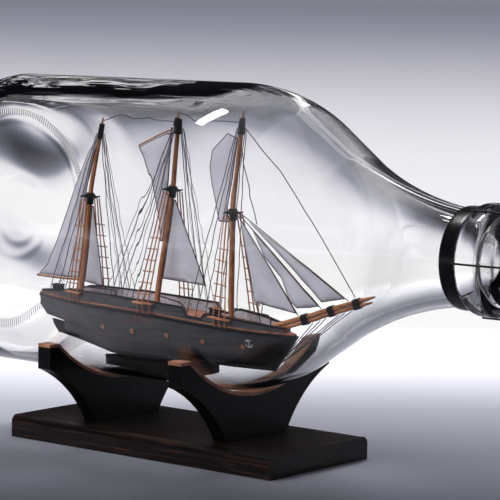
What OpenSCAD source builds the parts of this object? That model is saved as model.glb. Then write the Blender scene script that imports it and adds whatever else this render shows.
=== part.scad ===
// Ship in a bottle: a three-masted schooner in a clear spirit bottle on a lined wooden stand.
// Millimetres. The origin is the middle of the stand's underside, +X runs along the bottle
// towards its neck, +Y to the ship's port side and +Z up.

/* [Stand] */
// Length of the base board
board_l = 102; // [96:1:130]
// Width of the base board
board_w = 47.4; // [44:0.2:70]
// Thickness of the base board
board_t = 6.8; // [5:0.2:12]
// Radius of the moulded long top edges
board_edge_r = 2.2; // [1:0.1:3]
// Thickness of each cradle
cradle_t = 5; // [4.2:0.1:8]
// Distance from the middle of the board to the rear cradle
rear_cradle_x = 26.3; // [24:0.1:32]
// Distance from the middle of the board to the front cradle
front_cradle_x = 25; // [22:0.1:32]
// Half width of a cradle's foot
foot_half = 14.5; // [12:0.1:17]
// Half width of a cradle across its ears
ear_half = 35.4; // [33:0.1:40]
// Height of an ear's end face
ear_h = 6.5; // [5:0.1:9]
// Rise of the ears' undersides above the board
ear_rise = 18.2; // [16:0.1:22]
// Thickness of the lining strip
lining_t = 1.1; // [0.6:0.1:1.6]
// Diameter of the screws that hold the cradles
screw_d = 2.4; // [1.6:0.1:2.8]
// Length of those screws
screw_l = 14; // [11:0.5:16]

/* [Bottle] */
// Outside diameter of the bottle's body
bottle_d = 91.5; // [88:0.5:96]
// Thickness of the glass
glass_t = 2.6; // [2:0.1:3.2]
// Distance from the base to the start of the shoulder
body_l = 95.3; // [94:0.1:98]
// Radius of the shoulder's outward curve
shoulder_r = 47.6; // [42:0.2:52]
// Steepest slope of the shoulder, in degrees
shoulder_a = 32.7; // [31:0.1:34]
// Radius of the inward curve that runs into the neck
sweep_r = 95; // [90:0.5:102]
// Outside diameter of the neck
neck_d = 26; // [25:0.1:28]
// Depth of the push-up in the base
punt_h = 4.8; // [3:0.1:7]
// Radius of the rounding between body and base
heel_r = 10; // [8:0.5:13]
// Width of the collar on the neck
collar_w = 7.4; // [6:0.1:9]
// Outside diameter of the collar
collar_d = 31.6; // [30.8:0.1:34]
// Distance from the back of the collar to the mouth
finish_l = 25; // [24:0.5:32]
// Outside diameter of the lip
lip_d = 27.6; // [27:0.1:28.4]

/* [Closure] */
// Width of the black ring behind the collar
ring_w = 5.2; // [4.4:0.1:6]
// Outside diameter of the black ring
ring_d = 29.2; // [28.6:0.1:30.4]
// Depth of the stopper in the neck
stopper_depth = 13.1; // [10:0.1:15]
// Diameter of the stopper's head
stopper_head_d = 25; // [22.5:0.1:26]
// Thickness of the stopper's head
stopper_head_t = 6; // [4:0.1:9]
// Diameter of the wires of the hood
hood_wire_d = 0.6; // [0.4:0.05:0.8]

/* [Hull] */
// Height of the block that carries the ship
block_h = 4.5; // [4:0.1:7]
// Length of that block
block_l = 35.8; // [30:0.2:44]
// Width of that block
block_w = 12; // [9:0.2:14]
// Greatest beam of the hull
hull_beam = 17; // [15:0.1:18.4]
// Depth of the keel below the planking
keel_h = 1.2; // [0.9:0.1:1.8]
// Thickness of the keel, stem and rudder
keel_t = 0.9; // [0.7:0.05:1.2]
// Height of the deck at the stern, above the keel
deck_aft_z = 15; // [13.8:0.1:16]
// Height of the deck at the bow, above the keel
deck_bow_z = 11.6; // [10.8:0.1:13]
// Thickness of the deck
deck_t = 0.5; // [0.4:0.05:0.8]
// Thickness of the bulwarks
bulwark_t = 0.8; // [0.6:0.05:1]
// Height of the bulwark beside the quarterdeck
bulwark_h = 2.8; // [2.4:0.1:3.2]

/* [Masts] */
// Position of the mizzen mast's foot
mizzen_x = -43.9; // [-45:0.1:-43]
// Forward rake of the mizzen mast, in degrees
mizzen_rake = 7; // [6.4:0.1:7.6]
// Position of the mainmast's foot
main_x = -12.9; // [-14:0.1:-11.6]
// Forward rake of the mainmast, in degrees
main_rake = 8.7; // [8.1:0.1:9.3]
// Position of the foremast's foot
fore_x = 17.2; // [16.4:0.1:18]
// Forward rake of the foremast, in degrees
fore_rake = 0.2; // [-0.4:0.1:0.8]
// Diameter of a mast at the deck
mast_d = 1.9; // [1.7:0.05:2.1]
// Diameter of a mast below its masthead
mast_head_d = 1.4; // [1.1:0.05:1.5]
// Diameter of the bowsprit
bowsprit_d = 1.1; // [0.9:0.05:1.3]
// Diameter of the jibboom above it
jibboom_d = 1.45; // [1.2:0.05:1.6]
// Upward slope of both, in degrees
steeve = 17.5; // [16.8:0.1:18.2]

/* [Sails and rigging] */
// Thickness of the sails
sail_t = 0.3; // [0.2:0.05:0.5]
// Diameter of the shrouds that carry the ratlines
shroud_d = 0.44; // [0.3:0.02:0.5]
// Diameter of the ratlines
ratline_d = 0.34; // [0.24:0.02:0.4]
// Diameter of the backstays and stays
stay_d = 0.28; // [0.2:0.02:0.34]

/* [Hidden] */

glue = 0.02;                            // glue line between two fixed pieces
ease = 0.1;                             // air left around a piece that lifts or slides
nick = 0.01;                            // overlap of a cut past the face that it cuts
rope_gap = 0.06;                        // a thread's end and the timber that it is tied to
round_n = 48;
thread_n = 16;
knot = 1.18;                            // a knot's diameter against its thread's

// Stand
lining_r = bottle_d / 2 + ease;         // inside of the lining
cradle_r = lining_r + lining_t;         // saddle cut in the cradles
ear_top_z = board_t + ear_rise + ear_h;
seat_drop = 12.4;                       // ear top to the lowest point of the saddle
axis_z = ear_top_z - seat_drop + cradle_r;
screw_y = foot_half - 5.5;
screw_head_d = screw_d * 1.9;
screw_head_t = screw_d * 0.6;

// Bottle
bottle_r = bottle_d / 2;
neck_r = neck_d / 2;
bore_r = neck_r - glass_t;
base_x = -76.5;                         // plane that the upright bottle stands on
shoulder_x = base_x + body_l;
bearing_r = bottle_r - heel_r;
shoulder_drop = (shoulder_r + sweep_r) * (1 - cos(shoulder_a));
slope_l = (bottle_r - neck_r - shoulder_drop) / sin(shoulder_a);
neck_x = shoulder_x + (shoulder_r + sweep_r) * sin(shoulder_a) + slope_l * cos(shoulder_a);
collar_back = neck_x - 6;
mouth_x = collar_back + finish_l;
front_r = shoulder_out(front_cradle_x - cradle_t / 2) + ease;

function shoulder_out(x) = x < shoulder_x ? bottle_r
    : bottle_r - shoulder_r + sqrt(pow(shoulder_r, 2) - pow(x - shoulder_x, 2));

// Closure
ring_x = collar_back - 0.1 - ring_w;
stopper_r = bore_r - 0.05;
hood_r = collar_d / 2 + hood_wire_d / 2 + 0.05;
hood_angles = [30, 90, 180, 270];       // from the top towards the viewer's side
head_x = mouth_x + 0.1;
head_end_x = head_x + stopper_head_t;

// Ship: its own heights are measured from the top of the block
keel_z = axis_z - bottle_r + glass_t + block_h;
drawn_for = 91.5;                       // diameter of bottle that the ship's own sizes are drawn for
waist_x = -10;
block_x = -28;
stern_x = -61;
bow_x = 41.8;
post_x = -50.5;
half_keel = keel_t / 2;
deck_top = glue + deck_t;
rail_t = 0.4;
rail_lap = 0.25;
inner_lap = 1.05;
hull_n = 30;
plank_n = 9;

function deck_part(x) = (x - stern_x) / (bow_x - stern_x);
function keel_rise(x) = max(0, (-30 - x) * 0.15);
function deck_z(x) = deck_aft_z - (deck_aft_z - deck_bow_z) * pow(max(0, deck_part(x)), 1.6);
function plan(t) = t < 0.5 ? pow(sin(180 * max(0, t)), 0.7) : cos(90 * pow((t - 0.5) / 0.5, 2.2));
function half_beam(x) = max(half_keel, hull_beam / 2 * plan(deck_part(x)));
function bulwark(x) = lookup(x, [
    [-61, 0.4], [-55, 0.6], [-50, 0.9], [-44, bulwark_h - 0.2], [5, bulwark_h], [6.2, 0.5],
    [12, 0.5], [13, 1.9], [14.5, 2.3], [25, 1.9], [33, 1.4], [39, 1]]);
function rail_z(x) = deck_z(x) + deck_top + glue + bulwark(x);
function rail_top(x) = rail_z(x) + glue + rail_t;
function stern_post(v) = v < 0.3 ? post_x : lookup(v, [
    [0.3, post_x], [0.34, -57.3], [0.64, -60.8], [1, stern_x]]);
function stem(v) = 33.8 + (bow_x - 33.8) * v;
function fullness(t) = 0.3 + (t < 0.48 ? 1.9 : 1.1) * pow(abs(t - 0.48) / 0.52, 3);

// Points of the hull: t runs from stern to bow and v from the keel to the deck
function plank(j) = pow(j / plank_n, 1.6);
function hull_x(t, v) = stern_post(v) + t * (stem(v) - stern_post(v));
function hull_y(t, v) = half_keel
    + (max(half_keel, hull_beam / 2 * plan(t)) - half_keel) * pow(v, fullness(t));
function hull_bottom(t) = keel_rise(hull_x(t, 0)) + keel_h + glue;
function hull_z(t, v) = hull_bottom(t) + v * (deck_z(hull_x(t, 1)) - hull_bottom(t));
function hull_side(x, z) = let(
    v = (z - keel_h) / (deck_z(x) - keel_h),
    t = (x - stern_post(v)) / (stem(v) - stern_post(v))) hull_y(t, v);

// Masts: [foot x, rake, heights of crosstrees and masthead lashing, its length and radius, tip,
// extra rake above the bend]
mizzen = [mizzen_x, mizzen_rake, 31, 50.3, 5.1, 1.05, 57.5, 4.3];
main = [main_x, main_rake, 36.5, 54, 4.9, 1.5, 61.4, -3.4];
fore = [fore_x, fore_rake, 31.8, 55.5, 4.8, 1.25, 62.7, 5.8];
MASTS = [mizzen, main, fore];
mast_lift = deck_top + 0.2;
tip_d = 0.5;
tree_t = 0.6;
tree_half = 1.7;
tree_wrap = 0.9;                        // lashing heaped on the crosstrees
spreader_half = 3.5;
spreader_d = 0.5;
lashing_t = 0.45;
staple_h = 1.2;
staple_d = 0.6;

function foot_z(m) = keel_z + deck_z(m[0]) + mast_lift;
function bend_h(m) = m[2] + tree_t + tree_wrap + mast_d / 2 + 0.3;
function leaned(a, h, dx) = [h * sin(a) + dx * cos(a), 0, h * cos(a) - dx * sin(a)];
function on_mast(m, h, dx = 0, y = 0) = let(foot = [m[0], y, foot_z(m)])
    h <= bend_h(m) ? foot + leaned(m[1], h, dx)
    : foot + leaned(m[1], bend_h(m), 0) + leaned(m[1] + m[7], h - bend_h(m), dx);
function mast_r(m, h) = (mast_d + (mast_head_d - mast_d) * h / m[3]) / 2;
function beside_mast(m, h, side, gap) = on_mast(m, h, side * (mast_r(m, h) + gap));

// Bowsprit, laid on the bow, and the jibboom lashed above it: s runs along them from the stem head
sprit_z = keel_z + deck_z(bow_x) + 3.2;
sprit_from = -6.2;
sprit_to = 28.5;
boom_from = -8.8;
boom_to = 29.8;
taper_from = 24.8;
spar_tip_d = 0.55;
boom_gap = (bowsprit_d + jibboom_d) / 2 + glue;
LASHINGS = [[2.5, 4.9], [12.5, 14.6], [21.9, 24.4]];
function on_sprit(s, up = 0, y = 0) = [
    bow_x + s * cos(steeve) - up * sin(steeve), y, sprit_z + s * sin(steeve) + up * cos(steeve)];
function on_boom(s, above = 0) = on_sprit(s, boom_gap + jibboom_d / 2 + above);

// ---------------------------------------------------------------- helpers

// A straight thread or rod from a to b, tapered where it has a tip
module rod(a, b, d, n = thread_n, tip = undef) {
    v = b - a;
    l = norm(v);
    translate(a)
        rotate([0, acos(v[2] / l), atan2(v[1], v[0])])
            cylinder(h = l, d1 = d, d2 = is_undef(tip) ? d : tip, $fn = n);
}

// A bent wire through a list of points, with a small knot at each bend
module wire(points, d, n = thread_n) {
    for (i = [0 : len(points) - 2]) {
        rod(points[i], points[i + 1], d, n);
        if (i > 0) translate(points[i]) sphere(d = d * knot, $fn = 24);
    }
}

// A closed skin through equal rings of points, listed from end to end
module loft(rings) {
    m = len(rings[0]);
    last = len(rings) - 1;
    half = m / 2;
    sides = [for (i = [0 : last - 1], j = [0 : m - 1])
        [i * m + j, i * m + (j + 1) % m, (i + 1) * m + (j + 1) % m, (i + 1) * m + j]];
    near_end = [for (j = [0 : half - 2]) [j, m - 1 - j, m - 2 - j, j + 1]];
    far_end = [for (j = [0 : half - 2])
        [last * m + j, last * m + j + 1, last * m + m - 2 - j, last * m + m - 1 - j]];
    quads = concat(sides, near_end, far_end);
    tris = [for (q = quads) each [[q[0], q[2], q[1]], [q[0], q[3], q[2]]]];
    polyhedron(points = [for (r = rings) each r], faces = tris);
}

// A rod along X seen from the side: an outline in x and z given a thickness in y
module plate(outline, t, y = 0) {
    translate([0, y + t / 2, 0])
        rotate([90, 0, 0])
            linear_extrude(height = t)
                polygon(outline);
}

// A solid turned about the bottle's axis from an outline in x (along) and r (out)
module turned(outline) {
    translate([0, 0, axis_z])
        rotate([0, 90, 0])
            rotate_extrude($fn = 128)
                polygon([for (p = outline) [p[1], p[0]]]);
}

module at_keel() {
    translate([0, 0, keel_z]) children();
}

// What is on board grows and shrinks with the bottle that it has to fit in
module aboard() {
    translate([waist_x, 0, keel_z])
        scale(bottle_d / drawn_for)
            translate([-waist_x, 0, -keel_z])
                children();
}

module both_sides() {
    children();
    mirror([0, 1, 0]) children();
}

// Children drawn upright at a mast's foot are leaned to its rake
module stepped(m) {
    translate([m[0], 0, foot_z(m)]) rotate([0, m[1], 0]) children();
}

// Children drawn upright stand at height h on the mast's bent upper part
module aloft(m, h) {
    translate(on_mast(m, h)) rotate([0, m[1] + m[7], 0]) children();
}

// ---------------------------------------------------------------- stand

module base_board() {
    flat_w = board_w - 2 * board_edge_r;
    color([0.17, 0.10, 0.09])
        difference() {
            union() {
                translate([-board_l / 2, -board_w / 2, 0])
                    cube([board_l, board_w, board_t - board_edge_r]);
                translate([-board_l / 2, -flat_w / 2, board_t - board_edge_r - nick])
                    cube([board_l, flat_w, board_edge_r + nick]);
                for (side = [-1, 1])
                    translate([-board_l / 2, side * flat_w / 2, board_t - board_edge_r])
                        rotate([0, 90, 0])
                            cylinder(h = board_l, r = board_edge_r, $fn = round_n);
            }
            at_screws() screw_hole(screw_d + 0.4);
        }
}

module at_screws() {
    for (x = [-rear_cradle_x, front_cradle_x], y = [-screw_y, screw_y])
        translate([x, y, 0]) children();
}

// Countersunk hole through the board
module screw_hole(d) {
    translate([0, 0, -nick]) cylinder(h = board_t + 2 * nick, d = d, $fn = round_n);
    translate([0, 0, -nick])
        cylinder(h = screw_head_t + 0.3, d1 = screw_head_d + 0.7, d2 = screw_d + 0.3, $fn = round_n);
}

module cradle_screws() {
    color([0.72, 0.58, 0.30])
        at_screws()
            difference() {
                union() {
                    translate([0, 0, 0.2])
                        cylinder(h = screw_head_t, d1 = screw_head_d, d2 = screw_d, $fn = round_n);
                    translate([0, 0, 0.2])
                        cylinder(h = screw_l, d = screw_d, $fn = round_n);
                }
                translate([-screw_head_d / 2, -0.3, -nick])
                    cube([screw_head_d, 0.6, 0.8]);
            }
}

// Round cut under each ear, through the foot's edge and the ear's corner
scoop_r = 40.6;
scoop_y = foot_half + 35.5;
scoop_z = board_t + ear_rise - sqrt(pow(scoop_r, 2) - pow(scoop_y - ear_half, 2));

module saddle(r, l) {
    translate([-l / 2, 0, axis_z]) rotate([0, 90, 0]) cylinder(h = l, r = r, $fn = round_n);
}

module cradle(x, r) {
    color([0.05, 0.04, 0.05])
        translate([x, 0, 0])
            difference() {
                translate([-cradle_t / 2, -ear_half, board_t])
                    cube([cradle_t, 2 * ear_half, ear_top_z - board_t]);
                saddle(r + lining_t, cradle_t + 2 * nick);
                for (side = [-1, 1])
                    translate([-cradle_t / 2 - nick, side * scoop_y, scoop_z])
                        rotate([0, 90, 0])
                            cylinder(h = cradle_t + 2 * nick, r = scoop_r, $fn = round_n);
                for (side = [-1, 1])
                    translate([0, side * screw_y, board_t - nick])
                        cylinder(h = screw_l - board_t + 1, d = screw_d + 0.1, $fn = round_n);
            }
}

// Strip laid over both ears and down the saddle
module lining(x, r) {
    edge = sqrt(pow(r + lining_t, 2) - pow(axis_z - ear_top_z, 2));
    color([0.60, 0.42, 0.33])
        translate([x, 0, 0])
            difference() {
                union() {
                    intersection() {
                        saddle(r + lining_t - glue, cradle_t);
                        translate([-cradle_t / 2, -edge, 0])
                            cube([cradle_t, 2 * edge, ear_top_z + lining_t]);
                    }
                    for (side = [-1, 1])
                        translate([-cradle_t / 2, side > 0 ? edge - 1 : -ear_half - 0.2,
                                   ear_top_z + glue])
                            cube([cradle_t, ear_half + 0.2 - edge + 1, lining_t - glue]);
                }
                saddle(r, cradle_t + 2 * nick);
            }
}

module rear_cradle() cradle(-rear_cradle_x, lining_r);
module front_cradle() cradle(front_cradle_x, front_r);
module rear_lining() lining(-rear_cradle_x, lining_r);
module front_lining() lining(front_cradle_x, front_r);

// ---------------------------------------------------------------- bottle

// Half outline of the shoulder, offset inwards by d, from the body to the neck
function shoulder_line(d) = let(
    r1 = shoulder_r - d,
    r2 = sweep_r + d,
    c1 = [shoulder_x, bottle_r - shoulder_r],
    c2 = [neck_x, neck_r + sweep_r])
    concat(
        [for (i = [0 : 12]) let(a = shoulder_a * i / 12) c1 + r1 * [sin(a), cos(a)]],
        [for (i = [12 : -1 : 1]) let(a = shoulder_a * i / 12) c2 - r2 * [sin(a), cos(a)]]);

// Outside of the neck at x, which thickens backwards into the sweep
function neck_out(x) = x > neck_x ? neck_r
    : neck_r + sweep_r - sqrt(pow(sweep_r, 2) - pow(neck_x - x, 2));

// A rounded moulding of width w that stands from r0 to r1 on the neck
function moulding(x, w, r0, r1) = [for (i = [0 : 14]) let(a = 180 * i / 14)
    [x + w / 2 - w / 2 * sign(cos(a)) * pow(abs(cos(a)), 0.6), r0 + (r1 - r0) * pow(sin(a), 0.45)]];

heel_arc = [for (i = [0 : 8]) let(a = 90 * i / 8)
    [base_x + heel_r - heel_r * cos(a), bearing_r + heel_r * sin(a)]];
punt_r = bearing_r - 3;
function punt_line(shift, r) = [for (i = [0 : 8]) let(k = i / 8)
    [base_x + shift + punt_h * (1 - pow(k, 2)), r * k]];
base_t = glass_t + 1;
inner_heel_r = heel_r - 2;
inner_heel = [for (i = [8 : -1 : 1]) let(a = 90 * i / 8)
    [base_x + base_t + inner_heel_r * (1 - cos(a)),
     bottle_r - glass_t - inner_heel_r + inner_heel_r * sin(a)]];
lip_w = 4;
lip_x = mouth_x - lip_w;

module bottle() {
    outside = concat(
        punt_line(0, punt_r),
        [for (p = heel_arc) p],
        [for (p = shoulder_line(0)) if (p[0] < collar_back) p],
        moulding(collar_back, collar_w, neck_out(collar_back), collar_d / 2),
        [[collar_back + collar_w + 0.1, neck_r], [lip_x - 0.1, neck_r]],
        moulding(lip_x, lip_w, neck_r, lip_d / 2));
    inside = concat(
        [[mouth_x, bore_r]],
        [for (i = [len(shoulder_line(0)) - 1 : -1 : 0]) shoulder_line(glass_t)[i]],
        inner_heel,
        [for (i = [8 : -1 : 0]) punt_line(base_t, punt_r)[i]]);
    color([0.86, 0.90, 0.93, 0.35])
        turned(concat(outside, inside));
}

module neck_ring() {
    inner = neck_out(ring_x) + 0.05;
    outer = ring_d / 2;
    color([0.04, 0.03, 0.04])
        turned(concat(
            [[ring_x + ring_w, inner], [ring_x, inner]],
            [for (i = [0 : 12]) let(a = 180 * i / 12)
                [ring_x + ring_w / 2 - ring_w / 2 * sign(cos(a)) * pow(abs(cos(a)), 0.5),
                 outer - 0.5 + 0.5 * pow(sin(a), 0.5)]]));
}

module stopper() {
    color([0.62, 0.45, 0.30])
        turned([
            [mouth_x - stopper_depth, 0], [mouth_x - stopper_depth, stopper_r - 0.6],
            [mouth_x - stopper_depth + 0.6, stopper_r], [head_x, stopper_r],
            [head_x, stopper_head_d / 2 - 0.5], [head_x + 0.5, stopper_head_d / 2],
            [head_end_x - 0.8, stopper_head_d / 2], [head_end_x, stopper_head_d / 2 - 0.8],
            [head_end_x, 0]]);
}

// Four wires run over the collar and the mouth and meet in a button on the stopper
module wire_hood() {
    lip_clear = lip_d / 2 + hood_wire_d / 2 + 0.2;
    side_r = stopper_head_d / 2 + hood_wire_d + 0.1;
    top_x = head_end_x + hood_wire_d;
    button_r = 3;
    color([0.05, 0.05, 0.06])
        translate([0, 0, axis_z]) {
            for (a = hood_angles)
                rotate([a, 0, 0])
                    wire([
                        [collar_back + 0.2, 0, hood_r],
                        [collar_back + collar_w, 0, hood_r],
                        [mouth_x + 0.4, 0, lip_clear],
                        [head_end_x - 0.6, 0, side_r],
                        [top_x, 0, side_r - 1.3],
                        [top_x, 0, button_r - 0.3]], hood_wire_d);
            translate([head_end_x + 0.1, 0, 0])
                rotate([0, 90, 0])
                    cylinder(h = hood_wire_d + 0.4, r = button_r, $fn = round_n);
        }
}

// ---------------------------------------------------------------- hull

module ship_block() {
    color([0.08, 0.07, 0.08])
        intersection() {
            translate([block_x, -block_w / 2, axis_z - bottle_r])
                cube([block_l, block_w, keel_z - glue - axis_z + bottle_r]);
            translate([block_x - 1, 0, axis_z])
                rotate([0, 90, 0])
                    cylinder(h = block_l + 2, r = bottle_r - glass_t - 0.05, $fn = round_n);
        }
}

module hull() {
    rings = [for (i = [0 : hull_n]) let(t = i / hull_n) concat(
        [for (j = [plank_n : -1 : 0]) [hull_x(t, plank(j)), -hull_y(t, plank(j)), hull_z(t, plank(j))]],
        [for (j = [0 : plank_n]) [hull_x(t, plank(j)), hull_y(t, plank(j)), hull_z(t, plank(j))]])];
    color([0.27, 0.28, 0.30]) at_keel() loft(rings);
}

// A strip along the ship: inner, outer, low and high are functions of x
module strip(xs, inner, outer, low, high) {
    loft([for (x = xs) [
        [x, inner(x), high(x)], [x, inner(x), low(x)], [x, outer(x), low(x)], [x, outer(x), high(x)]]]);
}

// Keel and stem, cut from one board
module keel() {
    inner = [for (j = [0 : plank_n]) [stem(plank(j)) + glue, hull_z(1, plank(j))]];
    outer = [for (j = [plank_n : -1 : 0]) [stem(plank(j)) + 1, hull_z(1, plank(j)) - 0.1]];
    color([0.60, 0.60, 0.63])
        at_keel()
            plate(concat(
                [[post_x, keel_rise(post_x)], [post_x, keel_rise(post_x) + keel_h], [-30, keel_h]],
                inner, outer, [[stem(0) + 0.6, 0], [-30, 0]]), keel_t);
}

module rudder() {
    low = keel_rise(post_x);
    front = post_x - 0.06;
    color([0.20, 0.20, 0.22])
        at_keel()
            plate([
                [front, low + 0.1], [front, low + 3.7], [front - 5.2, low + 4.2],
                [front - 4.3, low + 2.5], [front - 2.2, low + 0.3]], keel_t);
}

module deck() {
    color([0.55, 0.42, 0.34])
        at_keel()
            strip([for (i = [0 : hull_n]) hull_x(i / hull_n, 1)],
                function(x) -half_beam(x), function(x) half_beam(x),
                function(x) deck_z(x) + glue, function(x) deck_z(x) + deck_top);
}

rail_from = stern_x + 1.4;
rail_to = 38.6;
RAIL_X = concat([rail_from, -59], [for (x = [-58 : 3.5 : 1.5]) x], [5, 6.2, 9, 12, 13, 14.5],
                [for (x = [17 : 2 : 37]) x], [rail_to]);

module bulwarks() {
    color([0.30, 0.31, 0.33])
        at_keel()
            both_sides()
                strip(RAIL_X,
                    function(x) half_beam(x) - bulwark_t, function(x) half_beam(x),
                    function(x) deck_z(x) + deck_top + glue, function(x) rail_z(x));
}

module cap_rails() {
    color([0.22, 0.21, 0.22])
        at_keel()
            both_sides()
                strip(RAIL_X,
                    function(x) max(0.03, half_beam(x) - inner_lap),
                    function(x) half_beam(x) + rail_lap,
                    function(x) rail_z(x) + glue, function(x) rail_top(x));
}

// Dark rubbing strakes just under the deck's edge
module wales() {
    color([0.12, 0.11, 0.12])
        at_keel()
            both_sides()
                loft([for (i = [0 : hull_n - 1]) let(t = i / hull_n, lo = 0.92, hi = 0.985) [
                    [hull_x(t, hi), hull_y(t, hi) + 0.1, hull_z(t, hi)],
                    [hull_x(t, lo), hull_y(t, lo) + 0.1, hull_z(t, lo)],
                    [hull_x(t, lo), hull_y(t, lo) + 0.45, hull_z(t, lo)],
                    [hull_x(t, hi), hull_y(t, hi) + 0.45, hull_z(t, hi)]]]);
}

// Channels: boards outside the bulwarks that spread the shrouds, with their chainplates
CHANNELS = [-40.5, -9.7, 19.3];
channel_half = 3.7;
channel_w = 1.7;
channel_t = 0.45;
shroud_step = 1.9;
module channels() {
    color([0.62, 0.44, 0.34])
        at_keel()
            both_sides()
                for (c = CHANNELS) {
                    strip([for (x = [c - channel_half : channel_half / 3 : c + channel_half + nick]) x],
                        function(x) half_beam(x) + 0.05, function(x) half_beam(x) + channel_w,
                        function(x) rail_z(x) - 0.05 - channel_t, function(x) rail_z(x) - 0.05);
                    for (x = [c - shroud_step, c, c + shroud_step])
                        rod([x, half_beam(x) + 1.2, rail_z(x) - channel_t - 0.25],
                            [x, half_beam(x) + 0.4, deck_z(x)], 0.4);
                }
}

// Bent wire handrails amidships, each from just ahead of a mast and down to the deck
deck_rail_d = 0.42;
function deck_rail(m, h, length, drop) = let(
    a = beside_mast(m, h, 1, 0.1 + deck_rail_d / 2),
    x = m[0] + length,
    floor_z = keel_z + deck_z(x) + deck_top + 0.1)
    [a, [x - 1.1, 0, a[2] - drop], [x, 0, a[2] - drop - 0.7], [x, 0, floor_z]];
module deck_rails() {
    color([0.16, 0.16, 0.18]) {
        wire(deck_rail(mizzen, 3.2, 15.1, 0.4), deck_rail_d);
        wire(deck_rail(main, 3.5, 10.8, 1.1), deck_rail_d);
        wire(deck_rail(fore, 3.7, 15.1, 0.8), deck_rail_d);
    }
}

// Children stand on the hull's side at x and z, facing outwards
module on_side(x, z) {
    step = 0.5;
    y = hull_side(x, z);
    across = [-(hull_side(x + step, z) - y) / step, 1, -(hull_side(x, z + step) - y) / step];
    translate([x, y, z])
        rotate([0, acos(across[2] / norm(across)), atan2(across[1], across[0])])
            children();
}

PORTHOLES = [-28, -15.5, -2.6, 11.3, 24.8];
porthole_d = 1.5;
module portholes() {
    color([0.66, 0.48, 0.38])
        at_keel()
            both_sides()
                for (x = PORTHOLES)
                    on_side(x, 0.58 * deck_z(x))
                        translate([0, 0, 0.08])
                            difference() {
                                cylinder(h = 0.3, d = porthole_d, $fn = round_n);
                                translate([0, 0, 0.15]) cylinder(h = 0.3, d = 0.8, $fn = round_n);
                            }
}

// Stocked anchors hung flat against the bow
module anchors() {
    d = 0.36;
    color([0.80, 0.80, 0.82])
        at_keel()
            both_sides()
                on_side(27.6, 9.8)
                    translate([0, 0, 0.3]) {
                        rod([0, 0, 0], [2.6, 0, 0], d);
                        wire([[1.6, 1, 0], [2.4, 0.7, 0], [2.6, 0, 0], [2.4, -0.7, 0], [1.6, -1, 0]], d);
                        rod([0.4, -0.8, 0], [0.4, 0.8, 0], d);
                    }
}

module on_deck(x) {
    translate([x, 0, keel_z + deck_z(x) + deck_top + 0.1]) children();
}

module steering_box() {
    color([0.15, 0.14, 0.15])
        on_deck(-53.2) {
            translate([-1.6, -1.2, 0]) cube([3.2, 2.4, 2.7]);
            translate([-1.8, -1.4, 2.7 - nick]) cube([3.6, 2.8, 0.3]);
        }
}

module galley() {
    color([0.14, 0.12, 0.12])
        on_deck(10.8) {
            translate([-1.2, -1.5, 0]) cube([2.4, 3, 2.7]);
            translate([-1.4, -1.7, 2.7 - nick]) cube([2.8, 3.4, 0.35]);
        }
}

// ---------------------------------------------------------------- masts

// Wire staples through the mast feet, on which the masts were folded to pass the neck
module mast_staples() {
    leg_y = mast_d / 2 + 0.4;
    color([0.70, 0.66, 0.55])
        for (m = MASTS)
            stepped(m)
                wire([[0, -leg_y, 0], [0, -leg_y, staple_h], [0, leg_y, staple_h], [0, leg_y, 0]],
                     staple_d);
}

// One tapered stick, slightly bent above the crosstrees and bored at the foot for its staple
module mast(m) {
    bend = bend_h(m);
    color([0.62, 0.42, 0.32]) {
        stepped(m)
            difference() {
                cylinder(h = bend, d1 = mast_d, r2 = mast_r(m, bend), $fn = round_n);
                translate([0, -mast_d, staple_h])
                    rotate([-90, 0, 0])
                        cylinder(h = 2 * mast_d, d = staple_d + 0.1, $fn = round_n);
            }
        translate(on_mast(m, bend)) sphere(r = mast_r(m, bend) + 0.05, $fn = round_n);
        aloft(m, bend) cylinder(h = m[3] - bend, r1 = mast_r(m, bend), d2 = mast_head_d, $fn = round_n);
        aloft(m, m[3] - nick)
            cylinder(h = m[6] - m[3], d1 = mast_head_d, d2 = tip_d, $fn = round_n);
    }
}

// Crosstrees with two spreaders, and the lashing below and above that holds them up
module crosstrees(m) {
    wrap_h = 2;
    bore = 0.04;
    color([0.08, 0.07, 0.08])
        stepped(m)
            difference() {
                union() {
                    translate([-tree_half, -tree_half, m[2]])
                        cube([2 * tree_half, 2 * tree_half, tree_t]);
                    for (x = [-1, 1])
                        translate([x, -spreader_half, m[2] + tree_t / 2])
                            rotate([-90, 0, 0])
                                cylinder(h = 2 * spreader_half, d = spreader_d, $fn = round_n);
                    translate([0, 0, m[2] - wrap_h])
                        cylinder(h = wrap_h + nick, r = mast_r(m, m[2]) + lashing_t, $fn = round_n);
                    translate([0, 0, m[2] + tree_t - nick])
                        cylinder(h = tree_wrap, r1 = tree_half - 0.1, r2 = mast_d / 2 + 0.2,
                                 $fn = round_n);
                }
                cylinder(h = m[3], d1 = mast_d + 2 * bore, d2 = mast_head_d + 2 * bore, $fn = round_n);
            }
}

// Black lashing round a masthead, to which the stays are tied
module masthead(m) {
    bore = 0.04;
    color([0.06, 0.05, 0.06])
        aloft(m, m[3])
            difference() {
                cylinder(h = m[4], r1 = m[5], r2 = 0.85, $fn = round_n);
                translate([0, 0, -nick])
                    cylinder(h = m[6] - m[3], d1 = mast_head_d + 2 * bore, d2 = tip_d + 2 * bore,
                             $fn = round_n);
            }
}

module mizzen_mast() mast(mizzen);
module main_mast() mast(main);
module fore_mast() mast(fore);
module mizzen_crosstrees() crosstrees(mizzen);
module main_crosstrees() crosstrees(main);
module fore_crosstrees() crosstrees(fore);
module mizzen_masthead() masthead(mizzen);
module main_masthead() masthead(main);
module fore_masthead() masthead(fore);

// ---------------------------------------------------------------- spars

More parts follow.
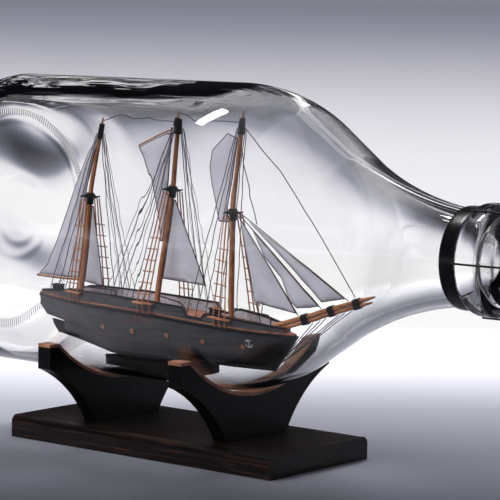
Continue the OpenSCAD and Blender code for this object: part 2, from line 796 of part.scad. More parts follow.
boom_d = 0.7;
boom_h = 4.9;                           // boom's height up the mizzen mast
boom_jaw = beside_mast(mizzen, boom_h, -1, 0.1);
boom_end = boom_jaw + [-18.1, 0, 0];
module mizzen_boom() {
    color([0.55, 0.38, 0.30]) rod(boom_end, boom_jaw, boom_d, round_n);
}

yard_d = 0.5;
yard_drop = 6.9;                        // yard's peak below the top of the mast
yard_peak = beside_mast(main, main[6] - yard_drop, -1, 2);
yard_end = yard_peak + [-11.6, 0, -5.4];
module topsail_yard() {
    color([0.62, 0.42, 0.32]) rod(yard_end, yard_peak, yard_d, round_n);
}

module bowsprit() {
    color([0.62, 0.42, 0.32]) {
        rod(on_sprit(sprit_from), on_sprit(taper_from), bowsprit_d, round_n);
        rod(on_sprit(taper_from - nick), on_sprit(sprit_to), bowsprit_d, round_n, spar_tip_d);
    }
}

module jibboom() {
    color([0.62, 0.42, 0.32]) {
        rod(on_sprit(boom_from, boom_gap), on_sprit(taper_from, boom_gap), jibboom_d, round_n);
        rod(on_sprit(taper_from - nick, boom_gap), on_sprit(boom_to, boom_gap), jibboom_d, round_n,
            spar_tip_d);
    }
}

module bowsprit_lashings() {
    low_r = bowsprit_d / 2 + 0.3;
    high_r = jibboom_d / 2 + 0.3;
    color([0.08, 0.07, 0.08])
        for (l = LASHINGS)
            translate(on_sprit(l[0]))
                rotate([0, 90 - steeve, 0])
                    difference() {
                        union() {
                            cylinder(h = l[1] - l[0], r = low_r, $fn = round_n);
                            translate([-boom_gap, 0, 0])
                                cylinder(h = l[1] - l[0], r = high_r, $fn = round_n);
                            translate([-boom_gap, -low_r, 0])
                                cube([boom_gap, 2 * low_r, l[1] - l[0]]);
                        }
                        translate([0, 0, -nick])
                            cylinder(h = l[1] - l[0] + 1, d = bowsprit_d + 0.06, $fn = round_n);
                        translate([-boom_gap, 0, -nick])
                            cylinder(h = l[1] - l[0] + 1, d = jibboom_d + 0.06, $fn = round_n);
                    }
}

// ---------------------------------------------------------------- sails

function flat(p) = [p[0], p[2]];
luff_gap = 0.4;                         // a sail's edge and the mast beside it
tree_gap = tree_half + 0.4;
wrap_below = 2.6;                       // clears the lashing below the crosstrees
function luff(m, h, side) = flat(beside_mast(m, h, side, luff_gap));
function past_trees(m, up) = flat(on_mast(m, m[2] + up, -tree_gap));

module sail(outline) {
    color([0.78, 0.78, 0.82]) plate(outline, sail_t);
}

module mizzen_sail() {
    foot = boom_d / 2 + 0.25;
    head = beside_mast(mizzen, mizzen[3] - 0.6, -1, 0.5);
    sail([
        luff(mizzen, boom_h + foot, -1), luff(mizzen, mizzen[2] - wrap_below, -1),
        past_trees(mizzen, -1), past_trees(mizzen, 1.2), flat(head),
        flat(head) + [-3.3, -4.1], flat(head) + [-8.6, -15], flat(head) + [-12.7, -25.1],
        flat(head) + [-16.1, -33.2], flat(head) + [-19.9, -40.6], flat(boom_end) + [1, foot]]);
}

module mizzen_staysail() {
    top_h = mizzen[2] - wrap_below;
    sail([
        luff(mizzen, boom_h, 1), luff(mizzen, top_h, 1), flat(on_mast(mizzen, top_h, 1.8)),
        flat(on_mast(mizzen, 24.6, 2.8)), flat(on_mast(mizzen, 16.2, 5.3)),
        flat(on_mast(mizzen, 4.7, 8.8))]);
}

module main_topsail() {
    hang = yard_d / 2 + 0.3;
    tack = main[2] - 16;
    sail([
        luff(main, tack, -1), luff(main, main[2] - wrap_below, -1),
        past_trees(main, -1), past_trees(main, 1.2),
        flat(yard_peak) + [0.3, -hang - 0.1], flat(yard_end) + [0.2, -hang],
        flat(yard_end) + [2.1, -3.3], flat(yard_end) + [3.9, -8.1], flat(yard_end) + [5.2, -13.6],
        flat(yard_end) + [6.4, -18.1], luff(main, tack + 6, -1) + [-2.2, 0],
        luff(main, tack, -1) + [-0.7, 0]]);
}

module main_staysail() {
    top_h = main[2] - wrap_below;
    sail([luff(main, 9.2, 1), luff(main, top_h, 1), flat(on_mast(main, top_h, 1.6)),
          flat(on_mast(main, 11, 18.2))]);
}

module fore_topsail() {
    foot_h = fore[2] - 2.6;
    sail([
        luff(fore, foot_h, -1), past_trees(fore, -0.2), past_trees(fore, 1.2),
        luff(fore, fore[3] - 1.5, -1), flat(on_mast(fore, fore[3] - 0.6, -5)),
        flat(on_mast(fore, 49.2, -10.2)), flat(on_mast(fore, 44, -10.6)),
        flat(on_mast(fore, 39.4, -9.2)), flat(on_mast(fore, 34.6, -7.2)),
        flat(on_mast(fore, foot_h, -5.6))]);
}

// Headstays: where each leaves the foremast and where it meets the jibboom
tree_front = tree_half + stay_d / 2 + rope_gap;
on_spar = rope_gap + 0.1;
stay_ends = [
    [on_mast(fore, fore[2] + 0.1, tree_front, -0.5), on_boom(1.5, on_spar)],
    [on_mast(fore, fore[2] + 0.3, tree_front), on_boom(10, on_spar)],
    [on_mast(fore, fore[2] + 0.5, tree_front, 0.5), on_boom(20.2, on_spar)]];
function along(s, k) = flat(stay_ends[s][0] + k * (stay_ends[s][1] - stay_ends[s][0]));
hank = 0.45;                            // from a headstay's middle down to the sail below it

module inner_jib() {
    sail([along(0, 0.05) + [-hank, -hank], along(0, 0.97) + [-hank, -hank],
          along(0, 0.97) + [-15.6, 1.6]]);
}

module middle_jib() {
    tack = along(1, 0.97) + [-hank, -hank];
    sail([along(1, 0.2) + [-hank, -hank], tack, tack + [-7, -0.1], tack + [-9.6, 1.6],
          tack + [-12.8, 7.8], tack + [-19.4, 13.6]]);
}

module outer_jib() {
    tack = along(2, 0.97) + [-hank, -hank];
    sail([along(2, 0.12) + [-hank, -hank], tack, tack + [-7.6, -0.5], tack + [-17.6, 7.8]]);
}

// Two sheets from the inner jib's foot, one to the deck and one beside the jibboom
module jib_sheets() {
    clew = along(0, 0.97) + [-15.6, 1.6];
    deck_end = clew[0] + 1.7;
    color([0.25, 0.24, 0.26]) {
        rod([clew[0] + 0.3, 0.1, clew[1] - 0.35],
            [deck_end, 1.2, keel_z + deck_z(deck_end) + deck_top + 0.1], stay_d);
        rod([clew[0] + 2.9, -0.1, clew[1] - 0.6], [clew[0] + 3.4, -1.15, clew[1] - 3.7], stay_d);
    }
}

// ---------------------------------------------------------------- rigging

function shroud_top(m, i, side) = on_mast(m, m[2] - 0.2, i - 0.8, side * (spreader_half - 0.4));
function shroud_foot(c, i, side) = let(x = c + (i - 1) * shroud_step)
    [x, side * (half_beam(x) + 1.15), keel_z + rail_z(x) + 0.15];

module shrouds(m, c) {
    color([0.62, 0.44, 0.34])
        for (side = [-1, 1], i = [0 : 2])
            rod(shroud_top(m, i, side), shroud_foot(c, i, side), shroud_d);
}

module mizzen_shrouds() shrouds(mizzen, CHANNELS[0]);
module main_shrouds() shrouds(main, CHANNELS[1]);
module fore_shrouds() shrouds(fore, CHANNELS[2]);

// Ratlines: rungs tied across the outside of each set of shrouds, counted up from its foot
rungs = 6;
rung_foot = 2.4;
rung_step = 3.5;
module ratlines() {
    lift = (shroud_d + ratline_d) / 2 + 0.06;
    color([0.62, 0.44, 0.34])
        for (n = [0 : 2], side = [-1, 1], j = [0 : rungs - 1]) {
            ends = [for (i = [0, 2]) let(
                a = shroud_foot(CHANNELS[n], i, side),
                b = shroud_top(MASTS[n], i, side),
                k = (rung_foot + j * rung_step) / norm(b - a)) a + k * (b - a) + [0, side * lift, 0]];
            over = 0.7 * (ends[1] - ends[0]) / norm(ends[1] - ends[0]);
            rod(ends[0] - over, ends[1] + over, ratline_d);
        }
}

// Backstays from the mastheads to the cap rails: [mast, side, foot x for each]
BACKSTAYS = [
    [0, -1, [-54.6, -50, -46]], [0, 1, [-35.4, -32.4, -29.4]],
    [1, -1, [-24.4, -19.6, -14.9]], [1, 1, [-5, -2, 1]],
    [2, -1, [6.2, 9.7, 13.4]], [2, 1, [6.2, 9.7, 13.4]]];

module backstays() {
    color([0.30, 0.30, 0.32])
        for (b = BACKSTAYS, i = [0 : 2]) {
            m = MASTS[b[0]];
            x = b[2][i];
            rod(on_mast(m, m[3] + 1.8, (i - 1) * 0.5, b[1] * (m[5] + 0.25)),
                [x, b[1] * (half_beam(x) - 0.4), keel_z + rail_top(x) + 0.15], stay_d);
        }
}

// Thin lines that hang slack: [share of the way along, height above the straight line]
OUTER_STAY = [[0, 0], [0.16, 1.1], [0.33, 3.2], [0.47, 3], [0.7, 2], [0.85, 1], [1, 0]];
HALYARD = [[0, 0], [0.17, -0.9], [0.52, 0.2], [0.55, -1.6], [0.78, -0.2], [1, 0]];
function slack(a, b, bends) = [for (p = bends) a + p[0] * (b - a) + [0, 0, p[1]]];

module headstays() {
    color([0.22, 0.20, 0.21]) {
        for (s = stay_ends) rod(s[0], s[1], stay_d);
        wire(slack(on_mast(fore, fore[3] + 2, fore[5] + 0.15), on_boom(22.9, 0.55), OUTER_STAY), stay_d);
        wire(slack(beside_mast(fore, fore[3] - 4.4, 1, 0.2),
                   stay_ends[2][0] + 0.17 * (stay_ends[2][1] - stay_ends[2][0]) + [0, 0, 0.6],
                   HALYARD), stay_d);
    }
}

// Bobstays from the bowsprit down to the stem, on alternate sides: distances along the bowsprit
BOBSTAYS = [6.5, 8.8, 11.2, 15.8, 18.2, 20.6];

module bobstays() {
    color([0.45, 0.45, 0.50])
        for (i = [0 : 5]) {
            side = i % 2 == 0 ? -0.3 : 0.3;
            z = 6.6 - 1.6 * floor(i / 2);
            foot_x = stem((z - keel_h) / (deck_bow_z - keel_h)) + 1.25;
            rod(on_sprit(BOBSTAYS[i], -bowsprit_d / 2 - 0.2, side), [foot_x, side, keel_z + z], stay_d);
        }
}

// Slack lines between the mastheads
AFT_LINE = [[0, 0], [0.1, 0.9], [0.18, 1.7], [0.26, 2.1], [0.34, 1.9], [0.42, 1.1], [0.55, 1.1],
            [0.68, 1.7], [0.73, 0.9], [0.84, 0.4], [1, 0]];
FORE_LINE = [[0, 0], [0.08, 0.1], [0.15, -0.8], [0.23, -1.7], [0.36, -1.9], [0.52, -1], [0.75, -0.4],
             [1, 0]];

module triatic_stays() {
    color([0.30, 0.28, 0.28]) {
        wire(slack(on_mast(mizzen, mizzen[6] - 0.9, 0.6),
                   on_mast(main, main[3] + 3.4, -main[5] - 0.1), AFT_LINE), stay_d);
        wire(slack(on_mast(main, main[6] - 0.8, 0.6),
                   on_mast(fore, fore[3] + 3.4, -fore[5] - 0.1), FORE_LINE), stay_d);
    }
}

// ---------------------------------------------------------------- assembly

base_board();
rear_cradle();
front_cradle();
rear_lining();
front_lining();
cradle_screws();
bottle();
neck_ring();
stopper();
wire_hood();
ship_block();
aboard() hull();
aboard() keel();
aboard() rudder();
aboard() deck();
aboard() bulwarks();
aboard() cap_rails();
aboard() wales();
aboard() channels();
aboard() deck_rails();
aboard() portholes();
aboard() anchors();
aboard() steering_box();
aboard() galley();
aboard() mizzen_mast();
aboard() main_mast();
aboard() fore_mast();
aboard() mast_staples();
aboard() mizzen_crosstrees();
aboard() main_crosstrees();
aboard() fore_crosstrees();
aboard() mizzen_masthead();
aboard() main_masthead();
aboard() fore_masthead();
aboard() mizzen_boom();
aboard() topsail_yard();
aboard() bowsprit();
aboard() jibboom();
aboard() bowsprit_lashings();
aboard() mizzen_sail();
aboard() mizzen_staysail();
aboard() main_topsail();
aboard() main_staysail();
aboard() fore_topsail();
aboard() inner_jib();
aboard() middle_jib();
aboard() outer_jib();
aboard() jib_sheets();
aboard() mizzen_shrouds();
aboard() main_shrouds();
aboard() fore_shrouds();
aboard() ratlines();
aboard() backstays();
aboard() headstays();
aboard() bobstays();
aboard() triatic_stays();
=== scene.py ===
"""A three-masted schooner in a clear glass bottle that lies on a lined wooden stand."""

import math

import bmesh
import bpy
import numpy as np
from mathutils import Matrix, Quaternion, Vector
from mathutils.geometry import delaunay_2d_cdt


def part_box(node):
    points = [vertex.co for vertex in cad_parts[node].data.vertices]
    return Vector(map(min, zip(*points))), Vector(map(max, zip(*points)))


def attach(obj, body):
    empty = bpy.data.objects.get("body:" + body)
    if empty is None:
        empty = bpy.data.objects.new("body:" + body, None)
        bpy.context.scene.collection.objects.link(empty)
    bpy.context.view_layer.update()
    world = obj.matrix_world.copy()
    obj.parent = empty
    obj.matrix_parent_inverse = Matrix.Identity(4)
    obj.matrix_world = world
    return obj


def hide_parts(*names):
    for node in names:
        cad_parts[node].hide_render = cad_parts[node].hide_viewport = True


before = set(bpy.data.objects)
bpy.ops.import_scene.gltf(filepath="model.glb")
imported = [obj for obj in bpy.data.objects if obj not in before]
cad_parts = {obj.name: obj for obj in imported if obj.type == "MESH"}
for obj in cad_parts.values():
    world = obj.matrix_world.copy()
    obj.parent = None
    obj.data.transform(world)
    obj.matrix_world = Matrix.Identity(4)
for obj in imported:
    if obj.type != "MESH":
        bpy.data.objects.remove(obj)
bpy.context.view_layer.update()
MM = 0.001

# ---------------------------------------------------------------- camera
# A long lens, a little above the deck and off the ship's starboard bow. It is aimed near the middle of the
# bottle and rolled by about a degree.
camera = bpy.data.objects.new("camera", bpy.data.cameras.new("camera"))
camera.data.lens = 171.3
camera.data.sensor_width = 36
camera.data.clip_start = 0.01
camera.location = Vector((460.6, -549.3, 133.0)) * MM
target = Vector((23.5, 0, 62.3)) * MM
aim = target - camera.location
roll = math.radians(1.05)
camera.rotation_mode = "QUATERNION"
camera.rotation_quaternion = aim.to_track_quat("-Z", "Y") @ Quaternion((0, 0, 1), roll)
bpy.context.scene.collection.objects.link(camera)
bpy.context.scene.camera = camera

# ---------------------------------------------------------------- base board
# A flat board of rosewood that carries the two cradles. Its long top edges are moulded, and it is stained
# almost black, grained along its length and varnished.


def linear(code):
    """An sRGB hex colour as linear RGBA."""
    srgb = [int(code[i:i + 2], 16) / 255 for i in (0, 2, 4)]
    return [c / 12.92 if c <= 0.04045 else ((c + 0.055) / 1.055) ** 2.4 for c in srgb] + [1.0]


def add(tree, kind, settings=None, stops=None, **inputs):
    """Adds a node with its settings, and with a colour ramp's stops, each a place and a hex colour. An input
    is a value, a hex colour, a socket, or a node whose first output is linked. _1 and _2 are inputs by
    number."""
    node = tree.nodes.new("ShaderNode" + kind)
    for name, value in (settings or {}).items():
        setattr(node, name, value)
    if stops:
        ramp = node.color_ramp.elements
        ramp[0].position, ramp[1].position = stops[0][0], stops[-1][0]
        ramp[0].color, ramp[1].color = linear(stops[0][1]), linear(stops[-1][1])
        for place, code in stops[1:-1]:
            ramp.new(place).color = linear(code)
    for name, value in inputs.items():
        socket = node.inputs[int(name[1:]) if name[0] == "_" else name.replace("_", " ")]
        if isinstance(value, bpy.types.Node):
            value = value.outputs[0]
        if isinstance(value, bpy.types.NodeSocket):
            tree.links.new(value, socket)
        else:
            socket.default_value = linear(value) if isinstance(value, str) else value
    return node


def finish_of(name):
    """A new material and its tree, which holds only the output."""
    material = bpy.data.materials.new(name)
    material.use_nodes = True
    tree = material.node_tree
    tree.nodes.clear()
    tree.nodes.new("ShaderNodeOutputMaterial")
    return material, tree


def show(tree, shader):
    """Links the shader that ends a material's tree to the output."""
    tree.links.new(shader.outputs[0], tree.nodes["Material Output"].inputs["Surface"])


def at_scale(tree, x, y=None, z=None):
    """Object coordinates in units of x, y and z millimetres, or of x alone in all three directions."""
    scale = [1 / (size * MM) for size in (x, y or x, z or x)]
    return add(tree, "Mapping", Vector=add(tree, "TexCoord").outputs["Object"], Scale=scale)


def grained(name, dark, mid, light, grain, roughness, bump=0.08, coat=0.0):
    """Sawn wood. Noise drawn out to grain millimetres along x, y and z gives the figure, from dark to light.
    Noise a fifth of that size gives the pores, which also make the shine uneven."""
    material, tree = finish_of(name)
    pore = [size / 5 for size in grain]
    figure = add(tree, "TexNoise", Vector=at_scale(tree, *grain), Scale=1.0, Detail=5.0, Roughness=0.6,
                 Distortion=0.6)
    pores = add(tree, "TexNoise", Vector=at_scale(tree, *pore), Scale=1.0, Detail=3.0)
    colour = add(tree, "ValToRGB", stops=((0.3, dark), (0.52, mid), (0.72, light)), Fac=figure)
    height = add(tree, "Math", {"operation": "ADD"}, _0=figure, _1=pores)
    relief = add(tree, "Bump", Strength=bump, Distance=0.2 * MM, Height=height)
    rough = add(tree, "MapRange", Value=pores, To_Min=roughness * 0.8, To_Max=roughness * 1.25)
    show(tree, add(tree, "BsdfPrincipled", Base_Color=colour, Roughness=rough, Normal=relief,
                   Specular_IOR_Level=0.12, Coat_Weight=coat, Coat_Roughness=0.06))
    return material


def settle(piece, material, body, node=None):
    """Puts a finished piece in the scene: its material, its body, and the CAD node that it stands for."""
    bpy.context.scene.collection.objects.link(piece)
    piece.data.materials.clear()
    piece.data.materials.append(material)
    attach(piece, body)
    if node:
        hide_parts(node)
    return piece


def softened(node, material, body, worn=0.0, steps=2):
    """A copy of a CAD solid as joined faces, with its sharp edges worn round over so many millimetres."""
    same_point = 1e-6
    same_plane, sharp, worn_from = math.radians(1), math.radians(30), math.radians(35)
    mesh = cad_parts[node].data.copy()
    shape = bmesh.new()
    shape.from_mesh(mesh)
    bmesh.ops.remove_doubles(shape, verts=shape.verts, dist=same_point)
    bmesh.ops.dissolve_limit(shape, angle_limit=same_plane, verts=shape.verts, edges=shape.edges)
    shape.to_mesh(mesh)
    shape.free()
    piece = bpy.data.objects.new(node + "_worked", mesh)
    mesh.shade_smooth()
    mesh.set_sharp_from_angle(angle=sharp)
    if worn:
        bevel = piece.modifiers.new("worn_edges", "BEVEL")
        bevel.width = worn * MM
        bevel.segments = steps
        bevel.limit_method = "ANGLE"
        bevel.angle_limit = worn_from
        bevel.harden_normals = True
    return settle(piece, material, body, node)


# Near black with a brown figure along the board, under a clear shine.
rosewood = grained("varnished_rosewood", "070506", "0d0909", "3a251c", grain=(22, 0.7, 0.7), roughness=0.3,
                   coat=0.45)
softened("base_board", rosewood, "stand", worn=0.9, steps=4)

# ---------------------------------------------------------------- cradles
# Two boards sawn to a waist, with a saddle on top that fits the bottle, stained black. They are glued to the
# base board and screwed to it from below.

# Black, grained across, and much duller than the board.
ebonised = grained("ebonised_wood", "030304", "060607", "0d0c0e", grain=(1.2, 14, 4), roughness=0.4,
                   coat=0.12)
for node in ("rear_cradle", "front_cradle"):
    softened(node, ebonised, "stand", worn=0.25)

# ---------------------------------------------------------------- linings
# Strips of tan leather, glued over the ears of each cradle and down its saddle, so that the glass rests on
# something soft.


def leather(name, dark, mid, light):
    """Undyed leather: pebbles about 0.6 mm across, and blotches of 5 mm from dark to light."""
    material, tree = finish_of(name)
    pebbles = add(tree, "TexVoronoi", Vector=at_scale(tree, 0.6), Scale=1.0)
    blotches = add(tree, "TexNoise", Vector=at_scale(tree, 5), Scale=1.0, Detail=4.0)
    colour = add(tree, "ValToRGB", stops=((0.3, dark), (0.5, mid), (0.7, light)), Fac=blotches)
    relief = add(tree, "Bump", Strength=0.4, Distance=0.15 * MM, Height=pebbles)
    show(tree, add(tree, "BsdfPrincipled", Base_Color=colour, Roughness=0.6, Normal=relief))
    return material


# A dull tan, warm beside the black wood, and stained by handling.
tan_leather = leather("tan_leather", "6b4636", "8a5f49", "a87c66")
for node in ("rear_lining", "front_lining"):
    softened(node, tan_leather, "stand", worn=0.15)

# ---------------------------------------------------------------- screws
# Four countersunk brass screws, driven up through the base board, two into the foot of each cradle. Their
# slotted heads show only from below.


def metal(name, code, roughness, grit):
    """Bare metal with fine working marks, grit millimetres apart."""
    material, tree = finish_of(name)
    marks = add(tree, "TexNoise", Vector=at_scale(tree, grit), Scale=1.0, Detail=3.0)
    rough = add(tree, "MapRange", Value=marks, To_Min=roughness * 0.7, To_Max=roughness * 1.4)
    relief = add(tree, "Bump", Strength=0.1, Distance=0.05 * MM, Height=marks)
    show(tree, add(tree, "BsdfPrincipled", Base_Color=code, Metallic=1.0, Roughness=rough, Normal=relief))
    return material


def dress(node, material):
    """Gives a CAD node its material."""
    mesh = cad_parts[node].data
    mesh.materials.clear()
    mesh.materials.append(material)


# Yellow and fairly bright.
dress("cradle_screws", metal("turned_brass", "c9a86a", roughness=0.3, grit=0.3))

# ---------------------------------------------------------------- bottle
# A clear flint-glass spirit bottle, blown in a mould: an even outside, and an inside that waves where
# the glass ran thick and thin. Its base is pushed up, ringed with moulded steps and knurled on the rim.
bottle_low, bottle_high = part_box("bottle")
axis_z = (bottle_low.z + bottle_high.z) / 2 / MM
body_r = (bottle_high.z - bottle_low.z) / 2 / MM
base_x = bottle_low.x / MM
mouth_x = bottle_high.x / MM
glass_t = 2.6                      # the wall, where it is even
shoulder_x = base_x + 95.3         # where the straight body ends
shoulder_r, sweep_r = 47.6, 95.0   # the arcs of the shoulder and of the sweep up to the neck
shoulder_a = math.radians(32.7)    # how far each arc turns
neck_r = 13.0
heel_r, punt_h = 10.0, 4.8         # the round between body and base, and how far the base is pushed up
collar_w, collar_r = 7.4, 15.8
lip_w, lip_r = 4.0, 13.8
finish_l = 25.0                    # from the collar's back to the mouth
# The straight slope that is left between the shoulder's arc and the sweep.
slope_l = (body_r - neck_r - (shoulder_r + sweep_r) * (1 - math.cos(shoulder_a))) / math.sin(shoulder_a)
collar_x = mouth_x - finish_l
bearing_r = body_r - heel_r        # the flat ring round the pushed-up middle of the base
punt_r = bearing_r - 3
inner_r = body_r - glass_t
inner_base = base_x + glass_t + 1  # the base is a little thicker than the wall
inner_heel = heel_r - 2
base_steps = ((0.05, 8, 1.1), (0.07, 12.5, 1.4), (0.1, 30.5, 1.0))     # height, radius and width of each
thin_by, thin_at, thin_spread = 0.6, np.radians(202), np.radians(28)   # the thin place low on one side
even_out, run_in, run_vary = 0.8, 3.9, 0.5                             # the run of glass along the top
band_gap, band_depth, band_z = 33, 0.9, 30                             # the bands in the base
arc_rows, body_rows, heel_rows, punt_rows = 28, 40, 24, 40


def net(rows, around, closed=False):
    """The faces of a net of rows of points, each row a ring. A closed net joins its last row to its
    first."""
    i, j = np.meshgrid(np.arange(rows if closed else rows - 1), np.arange(around), indexing="ij")
    i2, j2 = (i + 1) % rows, (j + 1) % around
    faces = np.stack([i * around + j, i * around + j2, i2 * around + j2, i2 * around + j], -1)
    return faces.reshape(-1, 4)


def surface(name, points, faces):
    """An object made of points, in metres, and faces, shaded smooth."""
    mesh = bpy.data.meshes.new(name)
    mesh.from_pydata(points, [], faces)
    mesh.shade_smooth()
    return bpy.data.objects.new(name, mesh)


def revolve(name, outline, wave, around=256):
    """A surface of revolution about the bottle's axis. outline is rows of (x, r) in millimetres; the point at
    angle a round the axis is (x, r sin a, r cos a). wave(x, r, a) gives what is added to x and to r. A pole
    is a small ring, closed with one face."""
    pole_r = 0.02
    x, r = np.array(outline).T[:, :, None]
    a = np.linspace(0, 2 * np.pi, around, endpoint=False)[None, :]
    r = np.maximum(r, pole_r)
    shift = wave(x, r, a)
    x, r = x + shift[0], r + shift[1]
    points = np.stack([np.broadcast_to(x, r.shape), r * np.sin(a), r * np.cos(a) + axis_z], -1)
    rows = len(outline)
    first, last = list(range(around)), list(range((rows - 1) * around, rows * around))
    sides = net(rows, around)[:, [0, 3, 2, 1]]
    return surface(name, (points.reshape(-1, 3) * MM).tolist(), sides.tolist() + [first, last[::-1]])


def arc(cx, cr, radius, a0, a1, steps):
    """Points on an arc about (cx, cr), at angles measured from straight outwards towards the mouth."""
    a = np.linspace(a0, a1, steps)
    return [(cx + radius * math.sin(t), cr + radius * math.cos(t)) for t in a]


def shoulder(inset):
    """The shoulder's outward arc and the sweep's inward arc, moved in by inset."""
    neck_x = shoulder_x + (shoulder_r + sweep_r) * math.sin(shoulder_a) + slope_l * math.cos(shoulder_a)
    return (arc(shoulder_x, body_r - shoulder_r, shoulder_r - inset, 0, shoulder_a, arc_rows)
            + arc(neck_x, neck_r + sweep_r, -(sweep_r + inset), shoulder_a, 0, arc_rows)[1:])


def base_relief(r):
    """The base's moulded steps: at each radius a bell curve of its height and width."""
    return sum(height * np.exp(-((r - middle) / width) ** 2) for height, middle, width in base_steps)


def ring_moulding(x, w, r0, r1, steps=20):
    """A rounded moulding of width w, from radius r0 out to r1. Over half a turn t, x runs with the cosine and
    r with the sine, both raised to a power below one, so that it is squarer than half a circle."""
    t = np.linspace(0, np.pi, steps)
    return list(zip(x + w / 2 - w / 2 * np.sign(np.cos(t)) * np.abs(np.cos(t)) ** 0.6,
                    r0 + (r1 - r0) * np.sin(t) ** 0.45))


push = np.linspace(0, 1, punt_rows)
root = 0.2                         # how far the bare neck stops from collar and lip
outside = [(base_x + punt_h * (1 - k ** 2) - base_relief(punt_r * k), punt_r * k) for k in push]
outside += [(base_x + heel_r - heel_r * math.cos(t), bearing_r + heel_r * math.sin(t))
            for t in np.linspace(0, math.pi / 2, heel_rows)]
outside += [(x, body_r) for x in np.linspace(base_x + heel_r, shoulder_x, body_rows)[1:-1]]
outside += [p for p in shoulder(0) if p[0] < collar_x]
outside += ring_moulding(collar_x, collar_w, neck_r + 0.3, collar_r)
outside += [(collar_x + collar_w + root, neck_r), (mouth_x - lip_w - root, neck_r)]
outside += ring_moulding(mouth_x - lip_w, lip_w, neck_r, lip_r)
inside = [(mouth_x, neck_r - glass_t)] + shoulder(glass_t)[::-1]
inside += [(x, inner_r) for x in np.linspace(shoulder_x, inner_base + inner_heel, body_rows)[1:-1]]
inside += [(inner_base + inner_heel * (1 - math.cos(t)), inner_r - inner_heel + inner_heel * math.sin(t))
           for t in np.linspace(math.pi / 2, 0, heel_rows)]
inside += [(inner_base + punt_h * (1 - k ** 2), punt_r * k) for k in push[::-1]]


def glass_wave(x, r, a):
    """How far the inside runs from its even shape, in millimetres: along x on the base, outwards on the wall.
    slow: crossed sines of x and a, up to 0.1 mm, and up to 3.5 times as much near the base.
    folds: finer crossed sines along the top, where the glass ran.
    thin: the wall is up to 0.6 mm thinner low on the starboard side, by a bell curve of a.
    run: the wall is 0.8 mm thinner all round, but up to 3.6 mm thicker along the top, by an exponential of
    the cosine of a.
    bands: the base is thick and thin by a cosine of the height, in bands 33 mm apart."""
    row = np.arange(len(x))[:, None]
    inner = row >= len(outside)
    wall = inner & (x < mouth_x - 30) & (r > punt_r)
    ends = 1 + 2.5 * np.exp(-((x - base_x - 8) / 9) ** 2)
    slow = (0.05 * np.sin(x / 9 + 1.5 * np.sin(2 * a)) * np.sin(2 * a + x / 30)
            + 0.03 * np.sin(x / 6 + 4 * a) + 0.02 * np.sin(x / 13 - 7 * a + 1.3)) * ends
    top = np.exp((np.cos(a) - 1) / 0.1) * np.clip((shoulder_x + 15 - x) / 20, 0.15, 1)
    folds = top * (0.13 * np.sin(x / 8 + 2 * np.sin(x / 19)) * np.sin(15 * a + x / 11)
                   + 0.05 * np.sin(x / 6 + 1) * np.sin(31 * a - x / 9))
    thin = thin_by * np.exp(-((np.mod(a, 2 * np.pi) - thin_at) / thin_spread) ** 2)
    ran = np.exp((np.cos(a) - 1) / 0.05) * np.clip((shoulder_x + 6 - x) / 40, 0, 1)
    past_base = np.clip((x - inner_base - 4) / 12, 0, 1)
    run = (even_out - (run_in + run_vary * np.sin(x / 11 + 1)) * ran) * past_base
    y, z = r * np.sin(a), r * np.cos(a)
    bands = (band_depth * np.cos(2 * np.pi * (z - band_z + 4 * np.sin(y / 9)) / band_gap)
             * (0.8 + 0.2 * np.sin(y / 7 + 1)))
    rim = np.clip((inner_r - 2 - r) / 8, 0, 1)
    before_neck = np.clip((mouth_x - 45 - x) / 30, 0, 1)
    on_base = inner & (x < inner_base + inner_heel)
    return (np.where(on_base, bands * rim, 0.0),
            np.where(wall, slow + folds + (thin + run) * before_neck, 0.0))


# Colourless and smooth. Relief adds what is too fine for the mesh: 230 notches of knurling round the base's
# rim, and long wisps along the top, where the light breaks up.
knurl_count, knurl_in, knurl_out, knurl_fade = 230.0, 31.5, 35.4, 0.8
wisp_size, wisp_strength = (48, 7, 7), 12.0
crown_from, crown_full = 0.87, 0.95              # the cosine of the angle from the top
wall_from, wall_full = 39, 41
SMOOTH, TIMES = {"interpolation_type": "SMOOTHSTEP"}, {"operation": "MULTIPLY"}
flint, tree = finish_of("flint_glass")
spot = add(tree, "SeparateXYZ", Vector=add(tree, "TexCoord").outputs["Object"])
rise = add(tree, "Math", {"operation": "SUBTRACT"}, _0=spot.outputs["Z"], _1=axis_z * MM)
away = add(tree, "CombineXYZ", Y=spot.outputs["Y"], Z=rise)
away = add(tree, "VectorMath", {"operation": "LENGTH"}, _0=away).outputs["Value"]
angle = add(tree, "Math", {"operation": "ARCTAN2"}, _0=spot.outputs["Y"], _1=rise)
notches = add(tree, "Math", TIMES, _0=angle, _1=knurl_count)
notches = add(tree, "Math", {"operation": "SINE"}, _0=notches)
knurl = add(tree, "MapRange", SMOOTH, Value=away, From_Min=knurl_in * MM,
            From_Max=(knurl_in + knurl_fade) * MM)
knurl_end = add(tree, "MapRange", SMOOTH, Value=away, From_Min=(knurl_out - knurl_fade) * MM,
                From_Max=knurl_out * MM, To_Min=1.0, To_Max=0.0)
at_base = add(tree, "Math", {"operation": "LESS_THAN"}, _0=spot.outputs["X"], _1=(base_x + 3) * MM)
for share in (knurl_end, at_base, notches):
    knurl = add(tree, "Math", TIMES, _0=knurl, _1=share)
crown = add(tree, "Math", {"operation": "DIVIDE"}, _0=rise, _1=away)
crown = add(tree, "MapRange", SMOOTH, Value=crown, From_Min=crown_from, From_Max=crown_full,
            To_Max=wisp_strength)
along = add(tree, "MapRange", SMOOTH, Value=spot.outputs["X"], From_Min=(shoulder_x - 10) * MM,
            From_Max=(shoulder_x + 12) * MM, To_Min=1.0, To_Max=0.12)
wall = add(tree, "MapRange", SMOOTH, Value=away, From_Min=wall_from * MM, From_Max=wall_full * MM)
for share in (along, wall):
    crown = add(tree, "Math", TIMES, _0=crown, _1=share)
